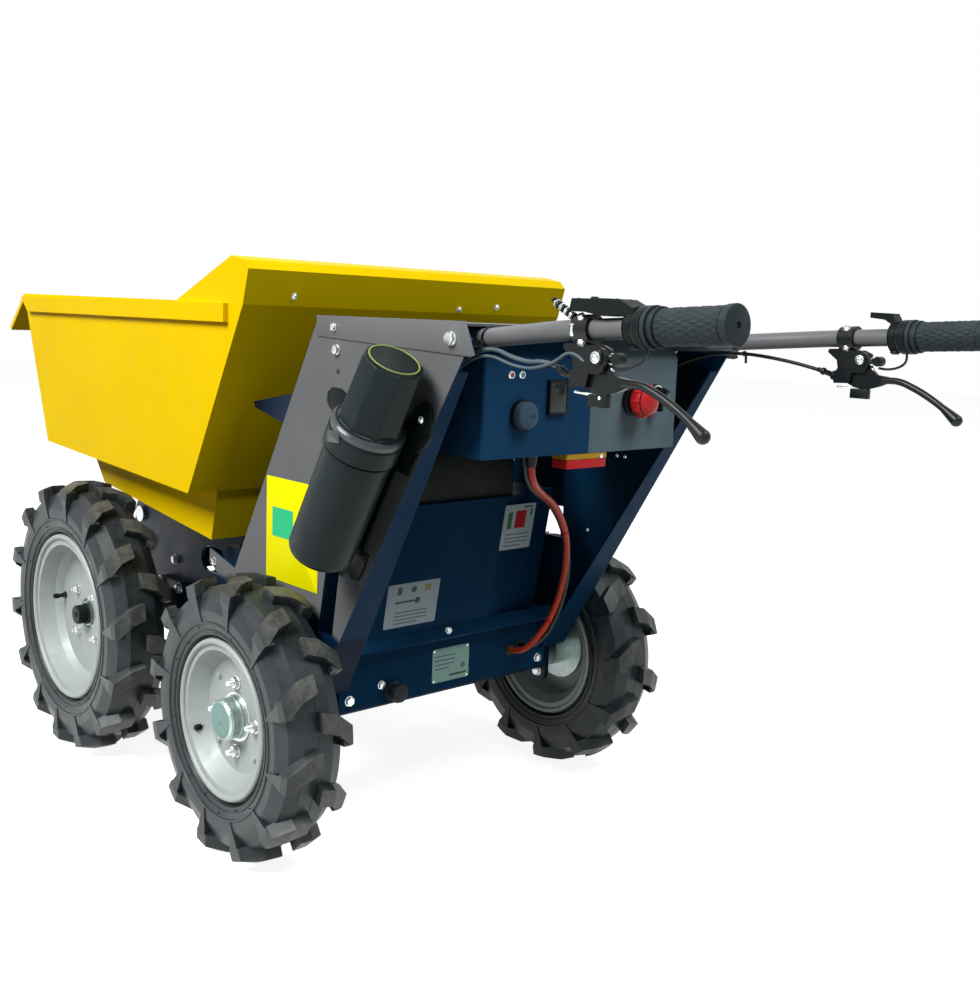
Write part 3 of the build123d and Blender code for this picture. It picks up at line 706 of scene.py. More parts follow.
class MeshWork:
    """One piece being shaped from small closed forms, each made with bmesh operators.

    Sizes are in millimetres and places in metres.
    """

    def __init__(self, name: str) -> None:
        """Starts an empty piece of that name.

        Args:
            name: the piece's name.
        """
        self.name = name
        self.bm = bmesh.new()
        self.finishes: list[Material] = []

    @contextmanager
    def form(self, place: Matrix, finish: Material) -> Iterator[bmesh.types.BMesh]:
        """Gives a fresh bmesh to shape one form in, then puts the form in its place in the piece.

        Args:
            place: where the form goes.
            finish: the material of its faces.

        Yields:
            The fresh bmesh, in metres about its own origin.
        """
        if finish not in self.finishes:
            self.finishes.append(finish)
        part = bmesh.new()
        yield part
        bmesh.ops.remove_doubles(part, verts=part.verts, dist=1e-6)
        bmesh.ops.transform(part, matrix=place, verts=part.verts)
        bmesh.ops.recalc_face_normals(part, faces=part.faces)
        for face in part.faces:
            face.material_index = self.finishes.index(finish)
            face.smooth = True
        carrier = bpy.data.meshes.new("carrier")
        part.to_mesh(carrier)
        part.free()
        self.bm.from_mesh(carrier)
        bpy.data.meshes.remove(carrier)

    def turned(
        self, steps: Outline, place: Matrix, finish: Material, segments: int, ring: bool = False,
    ) -> None:
        """A turned form.

        Args:
            steps: (radius, height) of each point of its outline.
            place: where it goes. It turns about its Z axis.
            finish: its material.
            segments: steps of a full turn.
            ring: whether the outline closes on itself, as of a ring, instead of on the axis.
        """
        with self.form(place, finish) as part:
            line = [part.verts.new(mm(radius, 0.0, height)) for radius, height in steps]
            pairs = list(zip(line, line[1:] + line[:1])) if ring else list(zip(line, line[1:]))
            edges = [part.edges.new(pair) for pair in pairs]
            bmesh.ops.spin(
                part, geom=line + edges, cent=(0.0, 0.0, 0.0), axis=(0.0, 0.0, 1.0), angle=math.tau,
                steps=segments, use_merge=True, use_duplicate=False,
            )

    def prism(
        self, sides: int, radius: float, height: float, place: Matrix, finish: Material,
        edge: float = 0.0, top_radius: float | None = None,
    ) -> None:
        """A prism or short cylinder on its base, with its top edge bevelled.

        Args:
            sides: of its base.
            radius: of its base.
            height: of the whole form.
            place: where its base goes.
            finish: its material.
            edge: bevel of its top edge.
            top_radius: of its top, if it isn't the base's.
        """
        with self.form(place, finish) as part:
            made = bmesh.ops.create_cone(
                part, cap_ends=True, segments=sides, radius1=radius * MM,
                radius2=(radius if top_radius is None else top_radius) * MM, depth=height * MM,
            )
            bmesh.ops.translate(part, vec=mm(0.0, 0.0, height / 2.0), verts=made["verts"])
            if edge > 0.0:
                self.bevel(part, self.top_edges(part, height), edge, 2)

    def block(
        self, size: Point, place: Matrix, finish: Material, edge: float = 0.0, corner: float = 0.0,
    ) -> None:
        """A block on its base, with rounded upright corners and bevelled top edges.

        Args:
            size: along X, Y and Z.
            place: where its base goes.
            finish: its material.
            edge: bevel of its top edges.
            corner: radius of its upright corners.
        """
        with self.form(place, finish) as part:
            made = bmesh.ops.create_cube(part, size=1.0)
            bmesh.ops.scale(part, vec=mm(*size), verts=made["verts"])
            bmesh.ops.translate(part, vec=mm(0.0, 0.0, size[2] / 2.0), verts=made["verts"])
            if corner > 0.0:
                self.bevel(part, self.upright_edges(part, size[2]), corner, 4)
            if edge > 0.0:
                self.bevel(part, self.top_edges(part, size[2]), edge, 2)

    def slab(self, outline: Outline, low: float, high: float, finish: Material, edge: float = 0.0) -> None:
        """A flat form with an outline in X and Z that spans from one Y to another.

        Args:
            outline: (x, z) of each corner.
            low: its lowest Y.
            high: its highest Y.
            finish: its material.
            edge: bevel of all of its edges.
        """
        with self.form(Matrix.Identity(4), finish) as part:
            face = part.faces.new([part.verts.new(mm(x, low, z)) for x, z in outline])
            grown = bmesh.ops.extrude_face_region(part, geom=[face])
            lifted = [item for item in grown["geom"] if isinstance(item, bmesh.types.BMVert)]
            bmesh.ops.translate(part, vec=mm(0.0, high - low, 0.0), verts=lifted)
            bmesh.ops.recalc_face_normals(part, faces=part.faces)
            if edge > 0.0:
                self.bevel(part, part.edges, edge, 2)

    @staticmethod
    def top_edges(part: bmesh.types.BMesh, height: float) -> list[bmesh.types.BMEdge]:
        """The edges of a form's top, which is that many millimetres high."""
        return [e for e in part.edges if all(v.co.z > 0.999 * height * MM for v in e.verts)]

    @staticmethod
    def upright_edges(part: bmesh.types.BMesh, height: float) -> list[bmesh.types.BMEdge]:
        """The edges that climb over half of a form's height."""
        return [e for e in part.edges if abs(e.verts[0].co.z - e.verts[1].co.z) > 0.5 * height * MM]

    @staticmethod
    def bevel(
        part: bmesh.types.BMesh, edges: Sequence[bmesh.types.BMEdge], offset: float, segments: int,
    ) -> None:
        """Bevels edges by an offset.

        Args:
            part: the form.
            edges: the edges to bevel.
            offset: of the new edges.
            segments: steps across the bevel.
        """
        bmesh.ops.bevel(
            part, geom=list(edges), offset=offset * MM, offset_type="OFFSET", segments=segments,
            profile=0.5, affect="EDGES", material=-1, clamp_overlap=True,
        )

    def wire(self, route: Sequence[Vector], radius: float, finish: Material, sides: int) -> None:
        """A thin round wire along a smooth line near its route's points.

        Args:
            route: control points of the wire's line.
            radius: of the wire.
            finish: its material.
            sides: steps in a quarter of its section.
        """
        mesh = mesh_of(round_line("wire", route, radius, sides, 8))
        with self.form(Matrix.Identity(4), finish) as part:
            part.from_mesh(mesh)
        bpy.data.meshes.remove(mesh)

    def subtract(self, cutter: "MeshWork") -> None:
        """Takes another piece's form away from this one.

        Args:
            cutter: the other piece, which is used up.
        """
        carriers = []
        for work in (self, cutter):
            mesh = bpy.data.meshes.new(work.name)
            work.bm.to_mesh(mesh)
            carriers.append(bpy.data.objects.new(work.name, mesh))
            bpy.context.scene.collection.objects.link(carriers[-1])
        body, tool = carriers
        modifier = body.modifiers.new("opening", "BOOLEAN")
        modifier.operation = "DIFFERENCE"
        modifier.solver = "EXACT"
        modifier.object = tool
        mesh = bpy.data.meshes.new_from_object(body.evaluated_get(bpy.context.evaluated_depsgraph_get()))
        self.bm.clear()
        self.bm.from_mesh(mesh)
        cutter.bm.free()
        for carrier in carriers:
            data = carrier.data
            bpy.data.objects.remove(carrier)
            bpy.data.meshes.remove(data)
        bpy.data.meshes.remove(mesh)

    def finish(self, body: str = Body.CHASSIS.value, crease: float = 34.0) -> bpy.types.Object:
        """Makes the piece's object and lets it ride.

        Args:
            body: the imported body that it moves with.
            crease: angle between faces, in degrees, past which an edge stays sharp.

        Returns:
            The finished object, at the origin.
        """
        mesh = bpy.data.meshes.new(self.name)
        self.bm.to_mesh(mesh)
        self.bm.free()
        for material in self.finishes:
            mesh.materials.append(material)
        mesh.set_sharp_from_angle(angle=math.radians(crease))
        piece = bpy.data.objects.new(self.name, mesh)
        bpy.context.scene.collection.objects.link(piece)
        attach(piece, body)
        LOG.info("%s: %d faces on %s", self.name, len(mesh.polygons), body)
        return piece


@dataclass
class Hardware:
    """Standard plated fasteners, with sizes in millimetres.

    Attributes:
        finishes: the machine's finishes.
    """

    finishes: Finishes

    def hex_bolt(self, work: MeshWork, place: Matrix, thread: float) -> None:
        """A hexagon head on its washer.

        Args:
            work: the piece to add to.
            place: where it goes.
            thread: its thread.
        """
        thick = 0.22 * thread
        work.prism(28, 1.08 * thread, thick, place, self.finishes.zinc, 0.15)
        head = place @ shift(0.0, 0.0, thick - 0.02)
        work.prism(6, 0.98 * thread, 0.65 * thread, head, self.finishes.zinc, 0.09 * thread)

    def stud_nut(self, work: MeshWork, place: Matrix, thread: float, stud: float) -> None:
        """A nut on its washer with a threaded stud standing out of it by that many millimetres.

        Args:
            work: the piece to add to.
            place: where it goes.
            thread: its thread.
            stud: how far the stud stands out.
        """
        self.hex_bolt(work, place, thread)
        pitch = 1.25
        base = 0.85 * thread
        steps = [(0.0, base - 0.5), (0.5 * thread, base - 0.5)]
        for turn in range(int(stud / pitch)):
            steps += [(0.5 * thread, base + pitch * turn), (0.42 * thread, base + pitch * (turn + 0.5))]
        steps += [(0.38 * thread, base + stud), (0.0, base + stud)]
        work.turned(steps, place, self.finishes.zinc, 14)

    def dome_screw(self, work: MeshWork, place: Matrix, head: float) -> None:
        """A button head with a hexagon socket, of that head radius.

        Args:
            work: the piece to add to.
            place: where it goes.
            head: radius of the head.
        """
        steps = (
            (0.0, 0.30 * head), (0.36 * head, 0.30 * head), (0.40 * head, 0.62 * head),
            (0.62 * head, 0.55 * head), (0.86 * head, 0.34 * head), (head, 0.08 * head), (head, 0.0),
            (0.0, 0.0),
        )
        work.turned(steps, place, self.finishes.zinc, 20)

    def tie(self, work: MeshWork, place: Matrix, radius: float) -> None:
        """A cable tie: its strap, its lock and the cut end of its tail.

        Args:
            work: the piece to add to.
            place: where it goes.
            radius: inside of the strap.
        """
        width = 3.6
        half = width / 2.0
        strap = ((radius, -half), (radius, half), (radius + 1.2, half), (radius + 1.2, -half))
        work.turned(strap, place, self.finishes.wire, 28, ring=True)
        lock = place @ shift(radius + 2.0, 0.0, -half - 0.6)
        work.block((5.0, 4.6, width + 1.2), lock, self.finishes.wire, 0.6, 0.6)
        tail = place @ shift(radius + 5.0, 3.4, -half) @ Matrix.Rotation(0.5, 4, "Z")
        work.block((7.0, 1.2, width), tail, self.finishes.wire, 0.2)


@dataclass
class Dress:
    """What every sub-assembly has at hand. Their lengths are in millimetres.

    Attributes:
        finishes: the machine's finishes.
    """

    finishes: Finishes

    @property
    def hardware(self) -> Hardware:
        """The machine's fasteners."""
        return Hardware(self.finishes)


# ---- wheels
@dataclass
class WheelDress(Dress):
    """Fasteners, valve, cap and moulded rings of one wheel.

    Attributes:
        axle: which axle the wheel is on.
        side: which side it is on.
        rim_circle: radius of the circle of small rim bolts on a rear wheel.
        tread: height of the lugs over the carcass.
        centre: the wheel's middle, in metres.
        tip: radius over the lugs.
    """

    axle: Axle
    side: Side
    rim_circle: float = 68.0
    tread: float = 15.0
    centre: Vector = field(init=False)
    tip: float = field(init=False)

    def __post_init__(self) -> None:
        """Reads the wheel's middle and size from the frame."""
        low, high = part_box(f"tyre_{self.axle.value}_{self.side.word}")
        self.centre = (Vector(low) + Vector(high)) / 2.0
        self.tip = (high[2] - low[2]) / 2.0 / MM

    @property
    def body(self) -> str:
        """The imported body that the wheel's pieces ride on."""
        return f"wheel_{self.axle.value}_{self.side.word}"

    @property
    def front(self) -> bool:
        """Whether this is a front wheel."""
        return self.axle is Axle.FRONT

    @property
    def disc(self) -> float:
        """How far outboard of the wheel's middle its disc has its face."""
        return 0.0 if self.front else 12.0

    def out(self, distance: float, radius: float = 0.0, angle: float = 0.0) -> Matrix:
        """Placement facing outboard, at a distance from the wheel's middle and at a polar place.

        Args:
            distance: outboard from the wheel's middle.
            radius: from the axle.
            angle: about the axle, in degrees.

        Returns:
            The matrix.
        """
        turn = math.radians(angle)
        offset = mm(radius * math.cos(turn), self.side.value * distance, radius * math.sin(turn))
        return stand(self.centre + offset, (0.0, self.side.value, 0.0))

    def dress(self) -> None:
        """Builds the pieces of the wheel and repaints its nodes."""
        name = f"{self.axle.value}_{self.side.word}"
        crown = (self.tip - self.tread) * MM
        rubber = TyreRubber(f"tyre_rubber_{name}", tuple(self.centre), crown, self.tip * MM).make()
        paint(f"tyre_{name}", rubber)
        paint(f"rim_{name}", self.finishes.rim)
        paint(f"hub_{name}", self.finishes.hub)
        self.fasteners(f"wheel_bolts_{name}")
        self.valve(f"wheel_valve_{name}")
        self.mould_rings(f"tyre_rings_{name}", rubber)
        self.hub_cover(f"hub_cap_{name}")

    def fasteners(self, name: str) -> None:
        """Stud nuts round the hub and small bolts through the rim's disc.

        Args:
            name: the piece's name.
        """
        work = MeshWork(name)
        if self.front:
            for turn in (45.0, 135.0, 225.0, 315.0):
                self.hardware.stud_nut(work, self.out(self.disc, 52.0, turn), 8.0, 6.0)
            for turn in (74.0, -106.0):
                self.rim_bolt(work, self.out(self.disc, 96.0, turn))
        else:
            for turn in (0.0, 90.0, 180.0, 270.0):
                self.hardware.stud_nut(work, self.out(self.disc, 50.0, turn), 9.0, 9.0)
                self.rim_bolt(work, self.out(self.disc, self.rim_circle, turn + 45.0))
        work.finish(self.body)

    def rim_bolt(self, work: MeshWork, place: Matrix) -> None:
        """A small painted bolt that holds the two halves of a rim."""
        work.prism(24, 6.4, 1.0, place, self.finishes.rim, 0.4)
        work.prism(6, 4.6, 3.4, place @ shift(0.0, 0.0, 0.9), self.finishes.rim, 0.6)

    def valve(self, name: str) -> None:
        """The tyre valve: a rubber-coated stem through the disc, with a black cap.

        Args:
            name: the piece's name.
        """
        work = MeshWork(name)
        place = self.out(self.disc, 96.0, 8.0) if self.front else self.out(self.disc, 90.0, -24.0)
        stem = (
            (0.0, -2.0), (6.4, -2.0), (6.4, 1.5), (4.6, 3.0), (3.8, 9.0), (2.7, 10.0), (2.7, 14.0),
            (0.0, 14.0),
        )
        work.turned(stem, place, self.finishes.wire, 20)
        cap = (
            (0.0, 12.0), (4.0, 12.0), (4.4, 13.0), (4.4, 20.0), (3.6, 21.6), (1.6, 21.6), (1.4, 20.8),
            (0.0, 20.8),
        )
        work.turned(cap, place, self.finishes.plastic, 20)
        work.finish(self.body)

    def mould_rings(self, name: str, rubber: Material) -> None:
        """Raised rings and vent pips that a mould leaves on a tyre's sidewalls, and its parting line.

        Args:
            name: the piece's name.
            rubber: the tyre's own finish.
        """
        work = MeshWork(name)
        crown = self.tip - self.tread
        bead = 147.5 if self.front else 120.0
        raised = ((bead + 1.0, 2.2, 41.0), (bead + 6.0, 1.0, 43.2), (self.tip - 63.0, 2.4, 47.0))
        for face in (1, -1):
            for radius, width, depth in raised:
                ring = (
                    (radius - width, face * (depth - 1.6)), (radius - 0.5 * width, face * (depth + 0.5)),
                    (radius + 0.5 * width, face * (depth + 0.5)), (radius + width, face * (depth - 1.6)),
                )
                work.turned(ring, self.out(0.0), rubber, 96, ring=True)
            for index in range(18):
                radius = bead + (11.0 if index % 2 else 3.6)
                place = self.out(face * (44.0 if index % 2 else 41.9), radius, 20.0 * index + 7.0)
                if face < 0:
                    place = place @ Matrix.Rotation(math.pi, 4, "X")
                work.prism(8, 0.9, 2.2, place, rubber)
        seam = ((crown - 1.0, -0.9), (crown + 0.7, -0.3), (crown + 0.7, 0.3), (crown - 1.0, 0.9))
        work.turned(seam, self.out(0.0), rubber, 120, ring=True)
        work.finish(self.body)

    def hub_cover(self, name: str) -> None:
        """What closes the hub: a black cap in front, a ribbed barrel with a painted end at the rear.

        Args:
            name: the piece's name.
        """
        work = MeshWork(name)
        if self.front:
            sleeve = (
                (13.05, 3.0), (18.6, 3.0), (18.6, 5.0), (16.4, 6.2), (16.2, 19.5), (15.2, 21.6),
                (11.0, 22.2), (0.0, 22.2), (0.0, 21.3), (13.05, 21.3),
            )
            work.turned(sleeve, self.out(0.0), self.finishes.plastic, 40)
            work.prism(6, 5.2, 1.6, self.out(22.1), self.finishes.plastic, 0.5)
        else:
            face = (
                (0.0, 40.4), (4.2, 40.4), (5.0, 39.6), (23.0, 39.6), (25.0, 39.3), (25.7, 38.7),
                (0.0, 38.7),
            )
            work.turned(face, self.out(0.0), self.finishes.teal, 48)
            for depth in (23.0, 26.2, 29.4, 32.6):
                ring = ((28.2, depth), (29.5, depth + 0.5), (29.5, depth + 1.7), (28.2, depth + 2.2))
                work.turned(ring, self.out(0.0), self.finishes.hub, 56, ring=True)
            snap = ((29.2, 19.3), (30.8, 19.3), (30.8, 20.8), (29.2, 20.8))
            work.turned(snap, self.out(0.0), self.finishes.zinc, 48, ring=True)
            washer = ((30.9, 12.2), (35.4, 12.2), (35.4, 13.6), (34.6, 14.2), (30.9, 14.2))
            work.turned(washer, self.out(0.0), self.finishes.zinc, 48, ring=True)
        work.finish(self.body)


def paint(node: str, material: Material) -> None:
    """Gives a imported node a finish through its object's material slots.

    Args:
        node: the node's name.
        material: the finish.
    """
    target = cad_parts[node]
    if not target.material_slots:
        target.data.materials.append(material)
    for slot in target.material_slots:
        slot.material = material


# ---- labels
@dataclass(frozen=True)
class Mark:
    """A printed patch of a label: its middle and size on the label, in millimetres.

    Attributes:
        x: its middle across the label.
        y: its middle up the label.
        width: or diameter.
        height: of a patch with corners.
        finish: the name of its finish.
        round: whether it is a disc.
    """

    x: float
    y: float
    width: float
    height: float
    finish: str
    round: bool = False


@dataclass(frozen=True)
class Label:
    """A thin adhesive label with plain printed patches and no words.

    Attributes:
        width: in millimetres.
        height: in millimetres.
        base: the finish of its sheet.
        marks: its printed patches.
        corner: radius of its corners.
    """

    width: float
    height: float
    base: str
    marks: tuple[Mark, ...] = ()
    corner: float = 2.0

    def stick(self, work: MeshWork, place: Matrix, finishes: Finishes) -> None:
        """Adds the label to a piece, lying on a surface at its place.

        Args:
            work: the piece to add to.
            place: where it goes.
            finishes: the machine's finishes.
        """
        work.block((self.width, self.height, 0.5), place, getattr(finishes, self.base), 0.1, self.corner)
        for mark in self.marks:
            spot = place @ shift(mark.x, mark.y, 0.42)
            ink = getattr(finishes, mark.finish)
            if mark.round:
                work.prism(28, mark.width / 2.0, 0.2, spot, ink)
            else:
                work.block((mark.width, mark.height, 0.2), spot, ink)


def printed_lines(
    x: float, top: float, width: float, count: int, pitch: float, finish: str,
) -> tuple[Mark, ...]:
    """Plain bars that stand for small print, the last one shorter.

    Args:
        x: their middle, in millimetres.
        top: height of the first.
        width: of the whole ones.
        count: how many.
        pitch: from one to the next.
        finish: the name of their finish.

    Returns:
        The bars.
    """
    bar = 0.32 * pitch
    bars = [Mark(x, top - pitch * index, width, bar, finish) for index in range(count - 1)]
    last = Mark(x - 0.14 * width, top - pitch * (count - 1), 0.72 * width, bar, finish)
    return (*bars, last)


# ---- chassis and tower
@dataclass
class ChassisDress(Dress):
    """Fasteners of the chassis plates, and the rear skirt's trim and sill.

    Attributes:
        rail_face: outer face of a chassis plate, from the machine's middle.
        skirt_face: X of the skirt's rear face.
    """

    rail_face: float = 143.0
    skirt_face: float = -145.0

    def dress(self) -> None:
        """Builds the pieces of the chassis and repaints its nodes."""
        paint("skirt", self.finishes.navy)
        # These parts take the darker copy of the navy paint, which paints shade on them.
        for node in (
            "chassis_rail_left", "chassis_rail_right", "crossmembers", "axle_saddles", "frame_brackets",
            "tower_floor", "rear_axle",
        ):
            paint(node, self.finishes.shaded_navy)
        for node in ("front_axle", "drive_motor"):
            paint(node, self.finishes.casting)
        paint("hinge_pins", self.finishes.zinc)
        paint("rest_buffers", self.finishes.rubber)
        for side in Side:
            self.rail_bolts(side)
        self.skirt_trim()
        self.sill()

    def sill(self) -> None:
        """The sloped strip that closes the step between the skirt's crease and the battery cover's foot."""
        work = MeshWork("skirt_sill")
        section = (
            (-146.2, 277.6), (-171.0, 290.0), (-161.4, 308.0), (-159.0, 306.0), (-164.0, 290.6),
            (-143.0, 282.0),
        )
        work.slab(section, -204.0, 204.0, self.finishes.navy, 0.5)
        self.hardware.hex_bolt(work, stand(mm(-166.2, 24.0, 299.0), (-0.88, 0.0, 0.47)), 5.0)
        work.finish()

    def rail_bolts(self, side: Side) -> None:
        """Bolts on one chassis plate, round the axles and at the skip's hinge.

        Args:
            side: left or right.
        """
        work = MeshWork(f"rail_bolts_{side.word}")
        out = (0.0, side.value, 0.0)
        for x, z in ((424.0, 263.0), (498.0, 263.0), (424.0, 199.0), (498.0, 199.0)):
            self.hardware.hex_bolt(work, stand(mm(x, side.value * (self.rail_face + 14.0), z), out, x), 9.0)
        for x, z in ((466.0, 307.0), (560.0, 330.0), (150.0, 345.0), (150.0, 372.0), (-108.0, 262.0)):
            self.hardware.hex_bolt(work, stand(mm(x, side.value * self.rail_face, z), out, z), 8.0)
        for x, z in ((-101.0, 254.0), (-39.0, 254.0), (-101.0, 174.0), (-39.0, 174.0)):
            self.hardware.hex_bolt(work, stand(mm(x, side.value * 236.0, z), (0.0, -side.value, 0.0), x), 8.0)
        work.finish()

    def skirt_trim(self) -> None:
        """The skirt's latch knob, corner bolts, cable grommets and plain rating plate."""
        work = MeshWork("skirt_trim")
        back = (-1.0, 0.0, 0.0)
        knob = (
            (0.0, 0.0), (15.0, 0.0), (15.0, 2.0), (9.0, 3.0), (8.0, 9.0), (13.5, 11.0), (15.5, 15.0),
            (13.5, 21.0), (7.0, 24.0), (0.0, 24.5),
        )
        work.turned(knob, stand(mm(self.skirt_face, 110.0, 217.0), back), self.finishes.rubber, 32)
        self.hardware.hex_bolt(work, stand(mm(self.skirt_face, 131.0, 229.0), back), 6.0)
        for y in (188.0, -188.0):
            self.hardware.hex_bolt(work, stand(mm(self.skirt_face, y, 216.0), back), 7.0)
        grommet = ((5.3, -0.5), (9.5, -0.5), (9.5, 2.0), (8.0, 3.4), (5.3, 3.4))
        small_grommet = ((4.3, -0.5), (7.8, -0.5), (7.8, 1.6), (6.6, 2.6), (4.3, 2.6))
        for outline, y, z in ((grommet, -124.0, 240.0), (small_grommet, -144.0, 245.0)):
            work.turned(outline, stand(mm(self.skirt_face, y, z), back), self.finishes.rubber, 28, ring=True)
        plate = Label(
            73.0, 53.0, "label_mint",
            printed_lines(-12.0, 14.0, 40.0, 4, 6.5, "print_grey") + (
                Mark(14.0, -18.0, 34.0, 3.0, "dark_print_and_shade"), Mark(24.0, -6.0, 9.0, 9.0, "print_grey", True),
            ),
            3.0,
        )
        plate_y, plate_z = -1.5, 238.5
        plate.stick(work, stand(mm(self.skirt_face, plate_y, plate_z), back), self.finishes)
        rivet = ((0.0, 0.9), (1.0, 0.8), (1.8, 0.2), (1.8, 0.0), (0.0, 0.0))
        for y, z in ((-33.0, 23.5), (33.0, 23.5), (-33.0, -23.5), (33.0, -23.5)):
            place = stand(mm(self.skirt_face - 0.5, plate_y + y, plate_z + z), back)
            work.turned(rivet, place, self.finishes.zinc, 12)
        work.finish()


@dataclass
class TowerDress(Dress):
    """Plates, fasteners, labels and plugs of the tower and its battery cover.

    Attributes:
        plate_face: outer face of a side plate, from the middle of the machine.
        plate_thick: thickness of a side plate.
        band_thick: thickness of the band along a side plate's top.
        opening_left: (x, z) of the corners of the slot in the left plate.
        opening_right: (x, z) of the corners of the opening in the right plate.
    """

    plate_face: float = 248.0
    plate_thick: float = 3.0
    band_thick: float = 1.4
    opening_left: Outline = ((-153.0, 330.0), (-187.0, 330.0), (-203.5, 440.0), (-173.0, 440.0))
    opening_right: Outline = ((-84.0, 409.0), (-136.0, 409.0), (-134.0, 461.0), (-84.0, 461.0))

    def dress(self) -> None:
        """Builds the pieces of the tower and repaints its nodes."""
        paint("top_cover", self.finishes.grey)
        paint("battery_box", self.finishes.navy)
        # The stays take the darker copy of the navy paint, which paints shade on them.
        paint("skip_stays", self.finishes.shaded_navy)
        self.plate(Side.LEFT, self.opening_left, self.finishes.plate_left)
        self.plate(Side.RIGHT, self.opening_right, self.finishes.plate_right)
        for side in Side:
            self.plate_bolts(side)
        self.labels()
        self.battery_top_and_shade_box()

    def plate(self, side: Side, opening: Outline, finish: Material) -> None:
        """A side plate with the opening cut through it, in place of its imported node.

        Args:
            side: left or right.
            opening: (x, z) of its corners.
            finish: the plate's material.
        """
        node = f"side_plate_{side.word}"
        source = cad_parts[node].data
        work = MeshWork(f"tower_plate_{side.word}")
        with work.form(Matrix.Identity(4), finish) as part:
            part.from_mesh(source)
        cutter = MeshWork("opening")
        middle = side.value * self.plate_face
        cutter.slab(opening, middle - 8.0, middle + 8.0, finish)
        work.subtract(cutter)
        piece = work.finish(crease=20.0)
        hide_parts(node)

    def plate_bolts(self, side: Side) -> None:
        """The band, bolts and plug on the outer face of one side plate, and the screws inside it.

        Args:
            side: left or right.
        """
        work = MeshWork(f"plate_bolts_{side.word}")
        out = (0.0, side.value, 0.0)
        band = ((-139.5, 759.5), (-441.5, 759.5), (-459.5, 721.5), (-452.0, 719.5), (-142.5, 732.0))
        faces = sorted(side.value * (self.plate_face + edge) for edge in (-0.1, self.band_thick))
        work.slab(band, faces[0], faces[1], self.finishes.grey, 0.4)
        bolts = ((-181.0, 745.0, 5.0), (-187.0, 716.0, 6.5), (-419.0, 739.0, 8.0), (134.0, 376.0, 6.0))
        for x, z, size in bolts:
            face = self.plate_face + (self.band_thick if z > 732.0 else 0.0)
            self.hardware.hex_bolt(work, stand(mm(x, side.value * face, z), out, z), size)
        inner_face = side.value * (self.plate_face - self.plate_thick)
        for x, z in ((-191.5, 431.0), (-246.0, 558.6), (-262.5, 558.7), (-350.0, 726.0), (-399.0, 735.5)):
            self.hardware.dome_screw(work, stand(mm(x, inner_face, z), (0.0, -side.value, 0.0)), 3.4)
        plug = stand(mm(-190.0, side.value * self.plate_face, 688.0), out)
        work.prism(20, 3.6, 0.25, plug, self.finishes.dark_print_and_shade)
        work.finish()

    def labels(self) -> None:
        """The plain coloured label on the left plate and the two panels on the battery cover."""
        work = MeshWork("tower_labels")
        yellow = Label(132.0, 148.0, "label_yellow", (Mark(-23.0, 10.0, 54.0, 42.0, "print_green"),), 1.0)
        yellow.stick(work, stand(mm(-84.0, self.plate_face, 456.0), (0.0, 1.0, 0.0)), self.finishes)
        lean = (-0.985, 0.0, -0.171)
        upper = Label(
            64.0, 73.0, "label_white", (
                Mark(-19.0, 11.0, 9.0, 26.0, "print_dark_green"), Mark(3.0, 12.0, 22.0, 28.0, "print_red"),
                Mark(24.0, 22.0, 4.0, 12.0, "print_dark_green"), Mark(16.0, 31.5, 18.0, 2.6, "dark_print_and_shade"),
            ) + printed_lines(0.0, -12.0, 46.0, 4, 6.0, "print_grey"),
        )
        upper.stick(work, stand(self.cover_point(-92.0, 450.0), lean), self.finishes)
        lower = Label(
            95.0, 68.0, "label_white", (
                Mark(-26.0, 23.0, 8.0, 12.0, "dark_print_and_shade"), Mark(0.0, 23.0, 10.0, 12.0, "dark_print_and_shade", True),
                Mark(26.0, 23.0, 11.0, 10.0, "print_amber"), Mark(-12.0, 5.0, 38.0, 3.2, "dark_print_and_shade"),
                Mark(9.0, 5.0, 8.0, 9.0, "dark_print_and_shade"),
            ) + printed_lines(0.0, -11.0, 60.0, 4, 5.6, "print_grey"),
        )
        lower.stick(work, stand(self.cover_point(97.0, 351.0), lean), self.finishes)
        work.finish()

    @staticmethod
    def cover_point(y: float, z: float) -> Vector:
        """The place on the battery cover's leaning rear face at a height."""
        return mm(-160.0 - 35.0 * (z - 299.0) / 201.0, y, z)

    def battery_top_and_shade_box(self) -> None:
        """The battery's own dark top above its cover, and beside it a black box of painted shade that darkens
        the inside of the tower.
        """
        work = MeshWork("battery_top_and_shade_box")
        battery_top, shade_box = (150.0, 250.0, 70.0), (90.0, 290.0, 84.0)
        work.block(battery_top, shift(-108.0, 40.0, 499.5), self.finishes.plastic, 4.0, 6.0)
        # Painted shade: a black block that stands for the shade inside the tower beside the battery.
        work.block(shade_box, shift(-88.0, -85.0, 546.0), self.finishes.plastic, 4.0, 6.0)
        work.finish()


